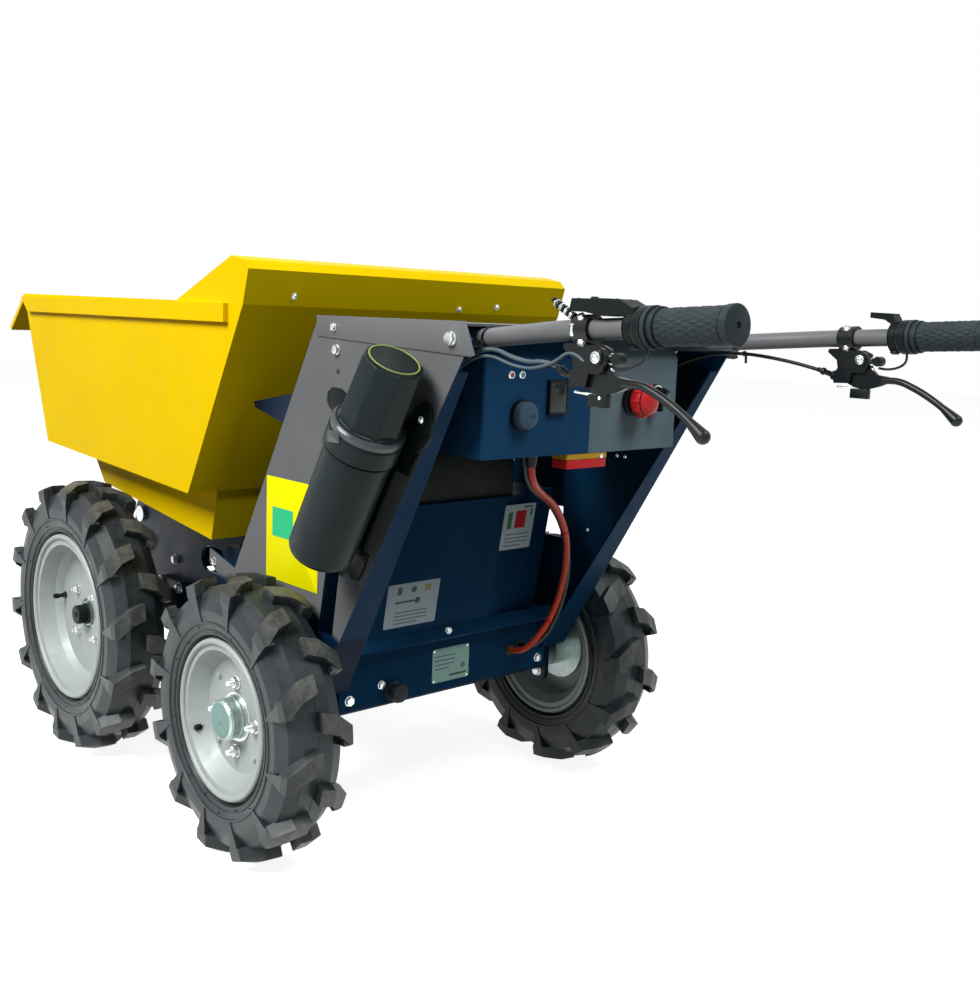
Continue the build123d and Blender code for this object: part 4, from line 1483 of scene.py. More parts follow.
@dataclass
class DashDress(Dress):
    """Lamps, socket cover, display, knobs and connector of the dash.

    Attributes:
        face: X of the dash's rear face.
    """

    face: float = -405.0

    def dress(self) -> None:
        """Builds the pieces of the dash and repaints its nodes."""
        paint("dash_box", self.finishes.dash)
        paint("panel_controls", self.finishes.plastic)
        self.lamps()
        self.charge_port()
        self.display()
        self.stop_knob()
        self.switches()
        self.connector()

    def on_face(self, y: float, z: float, proud: float = 0.0) -> Matrix:
        """Placement on the dash's rear face, facing the operator."""
        return stand(mm(self.face - proud, y, z), (-1.0, 0.0, 0.0))

    def lamps(self) -> None:
        """Two lamps in bright bezels."""
        work = MeshWork("dash_lamps")
        bezel = ((3.2, 0.0), (5.2, 0.0), (5.2, 1.4), (4.4, 2.4), (3.4, 2.4), (3.2, 1.0))
        lens = ((0.0, 3.0), (1.6, 2.7), (2.8, 1.8), (3.3, 0.6), (3.3, 0.0), (0.0, 0.0))
        for y, tint in ((140.0, self.finishes.lens_red), (122.0, self.finishes.lens_green)):
            work.turned(bezel, self.on_face(y, 696.0), self.finishes.zinc, 28, ring=True)
            work.turned(lens, self.on_face(y, 696.0), tint, 24)
        work.finish()

    def charge_port(self) -> None:
        """The grey cover of the charging socket, with its dimple to one side, whose hollow a dark disc and
        bar of painted shade stand for.
        """
        work = MeshWork("charge_port")
        cover = (
            (0.0, 15.2), (14.0, 15.0), (16.4, 13.8), (17.4, 12.0), (17.4, 5.0), (17.0, 5.0), (17.0, 13.1),
            (0.0, 13.1),
        )
        work.turned(cover, self.on_face(120.0, 646.0), self.finishes.cap_grey, 44)
        dimple = self.on_face(115.0, 646.0, 15.0)
        lip = ((1.6, 0.0), (3.0, 0.0), (2.8, 0.8), (1.8, 0.8))
        work.turned(lip, dimple, self.finishes.cap_grey, 18, ring=True)
        # Painted shade: a flat dark disc and bar stand for the hollow of the dimple.
        work.prism(14, 1.6, 0.4, dimple, self.finishes.dark_print_and_shade)
        work.block((4.5, 1.2, 0.5), dimple @ shift(4.6, -0.6, 0.0), self.finishes.dark_print_and_shade)
        work.finish()

    def display(self) -> None:
        """The display's glossy screen in its raised frame."""
        work = MeshWork("dash_display")
        y, z, proud = 59.5, 667.0, 4.0
        work.block((28.0, 38.0, 0.8), self.on_face(y, z, proud), self.finishes.screen, 0.3, 1.5)
        for rise in (20.4, -20.4):
            work.block((33.0, 2.4, 1.2), self.on_face(y, z + rise, proud), self.finishes.plastic, 0.4)
        for across in (15.4, -15.4):
            work.block((2.4, 38.6, 1.2), self.on_face(y + across, z, proud), self.finishes.plastic, 0.4)
        work.finish()

    def stop_knob(self) -> None:
        """The red stop knob: a domed head with finger ribs on a black collar."""
        work = MeshWork("stop_knob")
        head = (
            (0.0, 35.6), (8.0, 35.2), (14.0, 33.8), (18.8, 31.4), (21.6, 27.0), (22.0, 21.0), (21.2, 16.4),
            (15.4, 15.6), (14.8, 8.0), (14.8, 5.2), (0.0, 5.2),
        )
        place = self.on_face(-89.0, 661.0)
        work.turned(head, place, self.finishes.stop_red, 48)
        ribs = 10
        for index in range(ribs):
            rib = place @ Matrix.Rotation(math.tau * index / ribs, 4, "Z") @ shift(21.0, 0.0, 17.0)
            work.block((4.2, 4.2, 12.0), rib, self.finishes.stop_red, 1.6, 1.4)
        collar = ((15.0, 4.8), (22.4, 4.8), (22.4, 7.2), (21.4, 8.2), (15.0, 8.2))
        work.turned(collar, place, self.finishes.plastic, 44, ring=True)
        work.finish()

    def switches(self) -> None:
        """Grips and bright rings of the two small rotary switches."""
        work = MeshWork("rotary_switches")
        ring = ((9.0, 0.0), (11.6, 0.0), (11.2, 1.2), (9.4, 1.2))
        for y, z, turn in ((-136.0, 670.0, 30.0), (-129.0, 653.0, 100.0)):
            work.turned(ring, self.on_face(y, z, 3.9), self.finishes.zinc, 32, ring=True)
            grip = self.on_face(y, z, 15.9) @ Matrix.Rotation(math.radians(turn), 4, "Z")
            work.block((15.0, 4.6, 5.0), grip, self.finishes.plastic, 1.2, 2.0)
        work.finish()

    def connector(self) -> None:
        """The red and yellow power connector that hangs under the dash."""
        work = MeshWork("power_connector")
        top = 592.0
        body = shift(-390.0, -5.0, top - 20.0)
        work.block((28.0, 76.0, 12.0), body, self.finishes.stop_red, 1.0, 2.0)
        band = body @ shift(0.0, 0.0, 12.2)
        work.block((29.0, 77.0, 7.6), band, self.finishes.connector_yellow, 0.8, 2.0)
        screw = stand(mm(-404.6, -31.0, top - 5.0), (-1.0, 0.0, 0.0))
        work.prism(16, 3.0, 2.0, screw, self.finishes.zinc, 0.5)
        work.finish()


# ---- cords
@dataclass(frozen=True)
class Cord:
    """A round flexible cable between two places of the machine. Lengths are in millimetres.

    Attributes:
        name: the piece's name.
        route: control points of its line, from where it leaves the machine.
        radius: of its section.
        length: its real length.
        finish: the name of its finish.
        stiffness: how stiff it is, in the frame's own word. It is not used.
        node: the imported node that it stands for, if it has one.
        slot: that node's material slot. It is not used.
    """

    name: str
    route: tuple[Point, ...]
    radius: float
    length: float
    finish: str
    stiffness: str = "medium"
    node: str = ""
    slot: str = ""

    def curve(self, radius: float) -> bpy.types.Curve:
        """The cord's line with a round section of that radius, or a bare line for 0."""
        return round_line(self.name, [mm(*place) for place in self.route], radius, 5, 10)

    def line(self) -> list[Vector]:
        """Points along the cord's line, in metres.

        Returns:
            The points.
        """
        mesh = mesh_of(self.curve(0.0))
        points = [vertex.co.copy() for vertex in mesh.vertices]
        bpy.data.meshes.remove(mesh)
        return points

    def place_at(self, share: float) -> Matrix:
        """Placement on the cord's line at a share of its points, with Z along it.

        Args:
            share: from 0 at its start to 1 at its end.

        Returns:
            The matrix.
        """
        points = self.line()
        index = min(len(points) - 2, max(1, round(share * (len(points) - 1))))
        return stand(points[index], points[index + 1] - points[index - 1])

    def lay(self, finishes: Finishes) -> bpy.types.Object:
        """Args:
            finishes: the machine's finishes.

        Returns:
            The cord's object.
        """
        curve = self.curve(self.radius)
        curve.materials.append(getattr(finishes, self.finish))
        piece = bpy.data.objects.new(self.name, curve)
        bpy.context.scene.collection.objects.link(piece)
        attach(piece, Body.CHASSIS.value)
        if self.node:
            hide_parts(self.node)
        LOG.info("%s: cord of %.0f mm", self.name, self.length)
        return piece


# ---- handlebars
@dataclass
class BarDress(Dress):
    """Grips, levers' screws, adjusters and small wires of the handlebars.

    Attributes:
        tip: the left bar's outer end.
        bend: where its straight outer part starts.
        pivot: (x, z) of the brake levers' pivots.
        lever_y: how far the levers are from the middle of the machine.
    """

    tip: Point = (-816.0, 250.0, 766.0)
    bend: Point = (-600.0, 250.0, 754.0)
    pivot: tuple[float, float] = (-654.0, 729.0)
    lever_y: float = 250.0

    def dress(self) -> None:
        """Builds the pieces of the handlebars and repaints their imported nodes."""
        for side in Side:
            paint(f"handlebar_{side.word}", self.finishes.grey)
            self.grip(side)
            self.housing(side)
            self.lever_screws(side)
            self.bar_tie(side)
            self.loop(side).lay(self.finishes)
        paint("grips", self.finishes.rubber)
        paint("brake_levers", self.finishes.black_paint)
        paint("brake_perches", self.finishes.black_paint)
        paint("bar_clamps", self.finishes.navy)
        paint("bar_controls", self.finishes.plastic)
        self.box_trim()

    def along(self, side: Side, distance: float) -> Matrix:
        """Placement on a bar's axis, a distance in from its tip, with Z outward along it.

        Args:
            side: left or right.
            distance: in from the tip.

        Returns:
            The matrix.
        """
        tip = mm(self.tip[0], side.value * self.tip[1], self.tip[2])
        bend = mm(self.bend[0], side.value * self.bend[1], self.bend[2])
        out = (tip - bend).normalized()
        return stand(tip - out * distance * MM, out)

    def around(self, side: Side, distance: float, turn: float, radius: float) -> Matrix:
        """Placement on a bar's surface at a turn in radians, with X outward from the bar."""
        return self.along(side, distance) @ Matrix.Rotation(turn, 4, "Z") @ shift(radius, 0.0, 0.0)

    def grip(self, side: Side) -> None:
        """The raised lozenges of a grip, its knurled collar and the hole in its end.

        Args:
            side: left or right.
        """
        work = MeshWork(f"grip_ribs_{side.word}")
        around, rows, pitch = 18, 9, 8.4
        for row in range(rows):
            for step in range(around):
                turn = math.tau * (step + 0.5 * (row % 2)) / around
                place = (
                    self.around(side, 80.0 - pitch * row, turn, 17.2) @ Matrix.Rotation(math.pi / 2.0, 4, "Y")
                    @ Matrix.Diagonal((2.9, 1.0, 1.0, 1.0))
                )
                work.prism(4, 3.0, 1.35, place, self.finishes.rubber, top_radius=0.7)
        knurls = 48
        for step in range(knurls):
            place = self.around(side, 88.6, math.tau * step / knurls, 19.5)
            work.block((1.4, 1.2, 3.2), place, self.finishes.rubber, 0.3)
        end_ring = ((17.2, -1.2), (18.4, -0.6), (18.4, 0.6), (17.2, 1.2))
        work.turned(end_ring, self.along(side, 11.0), self.finishes.rubber, 44, ring=True)
        disc = (
            (0.0, -1.2), (3.2, -1.2), (3.4, 0.5), (16.6, 0.7), (18.8, 0.2), (19.7, -0.9), (19.7, -3.0),
            (0.0, -3.0),
        )
        work.turned(disc, self.along(side, 0.0), self.finishes.rubber, 48)
        work.finish()

    def housing(self, side: Side) -> None:
        """The black ring and fine ribs of the twist housing, and the seam and lugs of its clamp.

        Args:
            side: left or right.
        """
        work = MeshWork(f"bar_housing_{side.word}")
        collar = ((16.9, -2.2), (18.8, -1.9), (19.9, -0.9), (19.9, 0.9), (18.8, 1.9), (16.9, 2.2))
        work.turned(collar, self.along(side, 110.0), self.finishes.black_paint, 56, ring=True)
        ribs = 40
        for step in range(ribs):
            place = self.around(side, 120.0, math.tau * step / ribs, 19.3)
            work.block((1.2, 1.0, 6.5), place, self.finishes.plastic, 0.3)
        seam = ((19.3, -0.7), (20.2, -0.4), (20.2, 0.4), (19.3, 0.7))
        work.turned(seam, self.along(side, 121.0), self.finishes.plastic, 48, ring=True)
        for turn in (1.9, -1.9):
            lug = self.around(side, 117.0, turn, 18.8)
            work.block((6.0, 8.0, 9.0), lug @ shift(0.0, 0.0, -4.5), self.finishes.plastic, 0.8, 1.0)
        work.finish()

    def lever_screws(self, side: Side) -> None:
        """The pivot bolt, clamp screws, return spring, stop and cable adjuster of one brake lever.

        Args:
            side: left or right.
        """
        work = MeshWork(f"lever_screws_{side.word}")
        x, z = self.pivot
        y = side.value * self.lever_y
        washer = ((0.0, 0.0), (8.5, 0.0), (8.5, 1.6), (7.8, 2.2), (0.0, 2.2))
        for face in (1, -1):
            place = stand(mm(x, y + face * 8.0, z), (0.0, face, 0.0))
            work.turned(washer, place, self.finishes.black_paint, 30)
            work.prism(28, 6.2, 1.0, place @ shift(0.0, 0.0, 2.0), self.finishes.zinc, 0.3)
            self.hardware.dome_screw(work, place @ shift(0.0, 0.0, 2.9), 4.6)
        work.wire(spring_line(mm(x - 14.0, y, z - 1.0)), 0.8, self.finishes.zinc, 2)
        self.adjuster(work, side)
        for turn in (2.2, 4.1):
            place = self.around(side, 184.0, turn, 15.0) @ Matrix.Rotation(math.pi / 2.0, 4, "Y")
            self.hardware.hex_bolt(work, place, 4.4)
        barrel = stand(mm(x - 22.0, y - 5.5, z - 1.0), (0.0, 1.0, 0.0))
        pitch = 2.2
        steps = [(0.0, 0.0)]
        for step in range(5):
            steps += [(6.4, pitch * step), (6.4, pitch * step + 1.3), (5.4, pitch * step + 1.6)]
        steps += [(5.4, 11.0), (0.0, 11.0)]
        work.turned(steps, barrel, self.finishes.black_paint, 26)
        work.prism(14, 2.3, 8.0, stand(mm(x - 14.5, y, z - 18.0), (0.0, 0.0, 1.0)), self.finishes.zinc, 0.5)
        block = shift(x + 1.0, y, z - 50.0)
        work.block((26.0, 9.0, 12.4), block, self.finishes.black_paint, 1.0, 2.0)
        outer = stand(mm(x - 3.0, y + 4.5 * side.value, z - 40.5), (0.0, side.value, 0.0))
        self.hardware.dome_screw(work, outer, 2.2)
        rod = stand(mm(-619.0, y, 692.2), (-1.0, 0.0, -0.05))
        work.prism(14, 1.7, 22.0, rod, self.finishes.zinc, 0.4)
        work.finish()

    def adjuster(self, work: MeshWork, side: Side) -> None:
        """The threaded adjuster and barrel where the brake cable leaves its perch.

        Args:
            work: the piece to add to.
            side: left or right.
        """
        start = mm(-616.0, side.value * 250.0, 706.0)
        ahead = (mm(-598.0, side.value * 249.0, 712.5 if side is Side.LEFT else 711.0) - start).normalized()
        place = stand(start, ahead)
        pitch, knurls = 1.5, 12
        steps = [(0.0, -2.0), (5.6, -2.0), (5.6, 5.0), (5.0, 6.0), (3.8, 6.0)]
        for turn in range(7):
            steps += [(3.8, 6.4 + pitch * turn), (3.1, 7.1 + pitch * turn)]
        steps += [(4.6, 17.2), (4.6, 21.4), (3.2, 22.4), (3.2, 27.0), (2.6, 28.0), (0.0, 28.0)]
        work.turned(steps, place, self.finishes.black_paint, 20)
        barrel = ((0.0, -5.0), (6.6, -5.0), (6.6, 4.0), (6.0, 5.0), (0.0, 5.0))
        work.turned(barrel, place, self.finishes.black_paint, 28)
        for step in range(knurls):
            knurl = place @ Matrix.Rotation(math.tau * step / knurls, 4, "Z") @ shift(4.2, 0.0, 17.6)
            work.block((1.4, 1.2, 3.4), knurl, self.finishes.black_paint, 0.3)

    def loop(self, side: Side) -> Cord:
        """The switch wire that loops from the twist housing to the brake lever.

        Args:
            side: left or right.

        Returns:
            The wire, not yet laid.
        """
        y = side.value * self.lever_y
        out = side.value
        route = (
            (-713.0, y, 740.0), (-713.0, y + 2.0 * out, 731.0), (-706.0, y + 5.0 * out, 724.0),
            (-694.0, y + 7.0 * out, 719.5), (-682.0, y + 6.5 * out, 718.0), (-674.0, y + 4.0 * out, 719.5),
        )
        return Cord(f"switch_wire_{side.word}", route, 1.6, 52.0, "wire", "limp")

    def bar_tie(self, side: Side) -> None:
        """The tie that holds the brake cable under its bar, or to it near the clamp.

        Args:
            side: left or right.
        """
        work = MeshWork(f"bar_tie_{side.word}")
        if side is Side.LEFT:
            self.hardware.tie(work, stand(mm(-449.0, 215.8, 741.3), (-0.972, 0.22, 0.079), 200.0), 11.4)
        else:
            centre, ahead = mm(-474.0, -221.4, 743.4), Vector((-0.972, -0.22, 0.079))
            self.hardware.tie(work, stand(centre, ahead, 90.0), 11.3)
            small = ((2.7, -1.6), (2.7, 1.6), (3.9, 1.6), (3.9, -1.6))
            work.turned(small, stand(mm(-478.0, -237.4, 728.6), ahead), self.finishes.wire, 24, ring=True)
            strap = stand(mm(-476.0, -229.6, 734.0), (0.0, 0.62, 0.5))
            work.block((3.2, 1.4, 9.0), strap, self.finishes.wire, 0.3)
            tail = stand(mm(-478.5, -240.0, 727.0), (0.05, -0.15, -1.0))
            work.block((3.4, 1.4, 12.0), tail, self.finishes.wire, 0.3)
        work.finish()

    def box_trim(self) -> None:
        """The button, window and screws of the left display box, the coiled clip before it and a stop."""
        work = MeshWork("bar_box_trim")
        up, lid = (0.0, 0.0, 1.0), 786.9
        button = ((0.0, 2.6), (3.4, 2.4), (4.2, 1.4), (4.2, -0.5), (0.0, -0.5))
        work.turned(button, stand(mm(-640.0, 250.0, lid - 0.1), up), self.finishes.plastic, 24)
        screw = ((0.0, 0.6), (1.7, 0.5), (2.1, 0.0), (0.0, -0.6))
        for x in (-627.0, -679.0):
            for y in (240.5, 259.5):
                work.turned(screw, stand(mm(x, y, lid), up), self.finishes.black_paint, 14)
        window = stand(mm(-654.0, 250.0, lid), up)
        work.block((19.0, 17.0, 0.7), window, self.finishes.screen, 0.2, 1.5)
        for lead, radius, thick, finish in (
            (0.0, 4.0, 1.5, self.finishes.black_paint), (2.6, 5.0, 0.7, self.finishes.zinc),
        ):
            clip = []
            for step in range(26):
                turn = 1.15 * step + lead
                across, rise = radius * math.cos(turn), radius * math.sin(turn)
                clip.append(mm(-587.0 - 1.35 * step, 254.0 + across, 784.0 - 0.72 * step + rise))
            work.wire(clip, thick, finish, 3)
        stop = stand(mm(-624.0, 263.4, 748.5), (0.03, 0.0, 1.0))
        post = (
            (0.0, 0.0), (2.2, 0.4), (2.8, 2.0), (2.8, 9.0), (1.8, 10.4), (3.0, 11.6), (3.0, 13.0),
            (0.0, 14.0),
        )
        work.turned(post, stop, self.finishes.zinc, 20)
        work.finish()


def spring_line(centre: Vector) -> list[Vector]:
    """Control points of a small coil spring beside a lever's pivot, its axis along Y.

    Args:
        centre: the middle of the spring, in metres.

    Returns:
        The points, in metres.
    """
    radius, width, turns, steps = 5.4, 4.8, 4, 8
    count = turns * steps
    points = []
    for step in range(count + 1):
        turn = math.tau * step / steps
        across = width * step / count - width / 2.0
        points.append(centre + mm(radius * math.cos(turn), across, radius * math.sin(turn)))
    return points


# ---- canister and cables
@dataclass
class CanisterDress(Dress):
    """Cap, bands, ears and bracket bolts of the document canister.

    Attributes:
        bottom: the middle of its foot.
        lean: direction of its axis.
        cap_foot: distance from the bottom to the cap's foot.
        cap_height: of the eight-sided cap.
        plate_face: outer face of the left side plate, from the machine's middle.
    """

    bottom: Point = (-226.0, 297.5, 455.0)
    lean: Point = (-0.5, 0.0, 0.866)
    cap_foot: float = 207.0
    cap_height: float = 88.0
    plate_face: float = 248.0

    def dress(self) -> None:
        """Builds the pieces of the canister and repaints its nodes."""
        paint("canister_body", self.finishes.canister)
        paint("canister_bracket", self.finishes.plastic)
        self.cap()
        self.trim()

    def cap(self) -> None:
        """The eight-sided screw cap over its collar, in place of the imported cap."""
        work = MeshWork("canister_screw_cap")
        collar = (
            (40.0, 196.0), (46.4, 197.0), (47.2, 199.5), (47.2, 203.0), (45.0, 206.0), (41.0, 207.5),
            (39.0, 208.5), (36.0, 208.5), (36.0, 196.0),
        )
        work.turned(collar, self.up(0.0), self.finishes.collar, 64, ring=True)
        with work.form(self.up(self.cap_foot, 22.5), self.finishes.canister) as part:
            made = bmesh.ops.create_cone(
                part, cap_ends=True, segments=8, radius1=40.6 * MM, radius2=38.4 * MM,
                depth=self.cap_height * MM,
            )
            bmesh.ops.translate(part, vec=mm(0.0, 0.0, self.cap_height / 2.0), verts=made["verts"])
            work.bevel(part, work.upright_edges(part, self.cap_height), 1.6, 3)
            work.bevel(part, work.top_edges(part, self.cap_height), 2.6, 3)
        disc = ((0.0, 297.0), (32.4, 297.0), (34.0, 296.2), (34.4, 294.0), (0.0, 294.0))
        work.turned(disc, self.up(0.0), self.finishes.plastic, 56)
        rim = ((29.8, 296.8), (30.2, 297.6), (31.6, 297.6), (32.0, 296.8))
        work.turned(rim, self.up(0.0), self.finishes.cap_ring, 56, ring=True)
        piece = work.finish(crease=24.0)
        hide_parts("canister_cap")

    def trim(self) -> None:
        """Bands and a clip on the canister's neck, its bracket's ears and bolt on the plate, and a dark disc
        of painted shade for a small hole below them.
        """
        work = MeshWork("canister_trim")
        for low, radius, width in ((170.0, 47.0, 24.0), (166.0, 46.2, 2.4)):
            inner, high = radius - 3.0, low + width
            band = ((inner, low), (radius, low + 0.5), (radius, high - 0.5), (inner, high))
            work.turned(band, self.up(0.0), self.finishes.canister, 56, ring=True)
        clip = stand(mm(*self.bottom) + Vector(self.lean) * 0.19 + mm(0.0, 45.6, 0.0), (0.0, 1.0, 0.0))
        work.block((24.0, 14.0, 1.4), clip, self.finishes.collar, 0.4, 1.5)
        rear_ear = (
            (-338.0, 590.0), (-357.0, 597.0), (-378.0, 608.0), (-388.0, 620.0), (-390.0, 640.0),
            (-388.0, 656.0), (-376.0, 664.0), (-352.0, 658.0), (-330.0, 640.0),
        )
        front_ear = (
            (-176.0, 640.0), (-171.0, 648.0), (-172.0, 660.0), (-182.0, 667.0), (-200.0, 666.0),
            (-216.0, 658.0), (-222.0, 640.0), (-206.0, 633.0), (-190.0, 634.0),
        )
        tab = (
            (-221.0, 456.0), (-268.0, 458.0), (-258.0, 436.0), (-246.0, 419.0), (-231.0, 420.0),
            (-222.0, 432.0),
        )
        for outline in (rear_ear, front_ear, tab):
            work.slab(outline, self.plate_face - 0.2, self.plate_face + 4.0, self.finishes.plastic, 0.8)
        out = (0.0, 1.0, 0.0)
        self.hardware.dome_screw(work, stand(mm(-370.0, self.plate_face + 4.0, 640.5), out), 4.6)
        # Painted shade: a thin dark disc stands for a small hole in the plate below the tab.
        work.prism(16, 2.4, 0.3, stand(mm(-241.0, self.plate_face, 412.0), out), self.finishes.dark_print_and_shade)
        work.finish()

    def up(self, distance: float, turn: float = 0.0) -> Matrix:
        """Placement on the canister's axis, a distance up from its bottom."""
        return stand(mm(*self.bottom) + Vector(self.lean) * distance * MM, self.lean, turn)


@dataclass
class CableDress(Dress):
    """The power conduit with the cable beside it, both brake cables, the display's wire and fittings."""

    def dress(self) -> None:
        """Lays the cables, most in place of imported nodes, and adds their bands, glands and ferrules."""
        # The left brake cable takes the lighter grey sheath, which paints sheen on its black sheath.
        left = Cord(
            "brake_cable_left", (
                (-616.0, 250.0, 706.0), (-598.0, 249.0, 714.0), (-568.0, 246.0, 721.0),
                (-540.0, 240.0, 718.0), (-506.0, 235.0, 722.0), (-474.0, 230.0, 730.0),
                (-440.0, 224.0, 727.0), (-404.0, 218.0, 714.0), (-372.0, 212.0, 694.0),
                (-350.0, 206.0, 668.0),
            ), 2.5, 292.0, "sheen_grey_wire", "stiff", "brake_cables", "rubber",
        )
        right = Cord(
            "brake_cable_right", (
                (-616.0, -250.0, 706.0), (-598.0, -249.0, 711.0), (-560.0, -247.0, 719.0),
                (-520.0, -244.0, 725.0), (-478.0, -238.0, 729.0), (-436.0, -231.0, 727.0),
                (-396.0, -224.0, 717.0), (-362.0, -216.0, 700.0), (-340.0, -208.0, 676.0),
            ), 2.5, 297.0, "wire", "stiff", "brake_cables", "rubber",
        )
        conduit = Cord(
            "power_conduit_tube", (
                (-355.0, 50.0, 592.0), (-355.0, 50.0, 574.0), (-344.0, 36.0, 550.0), (-324.0, 2.0, 530.0),
                (-300.0, -52.0, 506.0), (-280.0, -92.0, 476.0), (-256.0, -130.0, 438.0),
                (-232.0, -156.0, 394.0), (-214.0, -166.0, 348.0), (-204.0, -160.0, 306.0),
                (-192.0, -142.0, 268.0), (-172.0, -124.0, 240.0), (-145.0, -124.0, 240.0),
            ), 5.0, 521.0, "conduit", "medium", "power_conduit", "conduit_orange",
        )
        signal = Cord(
            "signal_cable_tube", (
                (-343.0, 50.0, 592.0), (-343.0, 50.0, 573.0), (-332.0, 34.0, 548.0),
                (-312.0, -1.0, 527.0), (-288.0, -55.0, 505.0), (-268.0, -96.0, 477.0),
                (-245.0, -137.0, 438.0), (-226.0, -168.0, 393.0), (-211.0, -179.0, 346.0),
                (-200.0, -175.0, 300.0), (-188.0, -160.0, 263.0), (-170.0, -144.0, 245.0),
                (-145.0, -144.0, 245.0),
            ), 4.0, 519.0, "wire", "medium", "signal_cable", "rubber",
        )
        # The sensor wire takes the lighter grey sheath, which paints sheen on its black sheath.
        sensor = Cord(
            "sensor_wire_left", (
                (-636.0, 257.0, 724.0), (-626.0, 258.0, 731.0), (-610.0, 256.0, 732.0),
                (-592.0, 252.0, 722.0), (-568.0, 249.0, 715.0), (-540.0, 243.0, 711.0),
                (-506.0, 238.0, 714.0), (-474.0, 234.0, 722.0), (-440.0, 228.0, 720.0),
                (-404.0, 221.0, 707.0), (-376.0, 214.0, 690.0), (-356.0, 208.0, 662.0),
            ), 1.8, 310.0, "sheen_grey_wire", "medium",
        )
        for cord in (left, right, conduit, signal, sensor):
            cord.lay(self.finishes)
        work = MeshWork("cable_fittings")
        for cord, share in ((conduit, 0.46), (conduit, 0.8)):
            band = ((4.9, -1.2), (4.9, 1.2), (5.8, 1.0), (5.8, -1.0))
            work.turned(band, cord.place_at(share), self.finishes.print_red, 28, ring=True)
        for cord in (conduit, signal):
            radius = cord.radius
            gland = (
                (radius + 0.1, -1.0), (radius + 6.0, -1.0), (radius + 6.0, 5.0), (radius + 4.0, 7.0),
                (radius + 3.0, 9.0), (radius + 1.6, 20.0), (radius + 0.1, 22.0),
            )
            root = stand(mm(*cord.route[0]), (0.0, 0.0, -1.0))
            work.turned(gland, root, self.finishes.plastic, 28, ring=True)
        for cord in (left, right):
            radius = cord.radius
            ferrule = ((radius + 0.1, 0.0), (radius + 1.6, 0.0), (radius + 1.6, 12.0), (radius + 0.1, 14.0))
            ahead = mm(*cord.route[-2]) - mm(*cord.route[-1])
            work.turned(ferrule, stand(mm(*cord.route[-1]), ahead), self.finishes.plastic, 20, ring=True)
        work.finish()


# ---- skip
@dataclass
class SkipDress(Dress):
    """Small bolts and weld beads of the tipping skip.

    Attributes:
        bead_radius: of a weld bead.
    """

    bead_radius: float = 2.0

    def dress(self) -> None:
        """Builds the pieces of the skip and repaints its nodes."""
        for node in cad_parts:
            if node.startswith("skip_") and node != "skip_stays" or node == "hinge_gussets":
                paint(node, self.finishes.yellow)
        self.rear_bolts()
        self.weld_beads()

    def rear_bolts(self) -> None:
        """Small bolts in the upright band along the top of the rear wall."""
        work = MeshWork("skip_rear_bolts")
        out = Vector((-0.96, 0.0, -0.28))
        head = ((0.0, 3.0), (2.0, 2.6), (3.4, 1.2), (3.4, 0.0), (0.0, 0.0))
        for y, z in ((225.0, 784.0), (-80.0, 776.0), (-158.0, 782.0)):
            spot = mm(-43.0 - 14.0 * (z - 770.0) / 48.0, y, z)
            work.prism(20, 5.0, 1.0, stand(spot, out), self.finishes.zinc, 0.3)
            work.turned(head, stand(spot + out * 0.0009, out), self.finishes.zinc, 16)
        work.finish(Body.SKIP.value)

    def weld_beads(self) -> None:
        """Beads of weld under the shelf and up the inner corners of the hopper."""
        work = MeshWork("skip_welds")
        for side in Side:
            under, inner = side.value * 251.2, side.value * 300.0
            self.bead(work, mm(126.0, under, 487.6), mm(576.0, under, 508.3))
            self.bead(work, mm(119.0, inner, 494.0), mm(-36.0, inner, 768.0))
            self.bead(work, mm(648.0, inner, 519.0), mm(735.0, inner, 768.0))
        work.finish(Body.SKIP.value)

    def bead(self, work: MeshWork, start: Vector, end: Vector) -> None:
        """One straight bead of weld with the ripples of its runs.

        Args:
            work: the piece to add to.
            start: one end, in metres.
            end: the other end.
        """
        length = (end - start).length / MM
        count = int(length / 6.0)
        steps = [(0.0, 0.0)]
        for index in range(count):
            low = length * index / count
            steps += [(0.7 * self.bead_radius, low + 0.2), (self.bead_radius, low + 0.55 * length / count)]
        steps += [(0.7 * self.bead_radius, length), (0.0, length)]
        work.turned(steps, stand(start, end - start), self.finishes.yellow, 10)


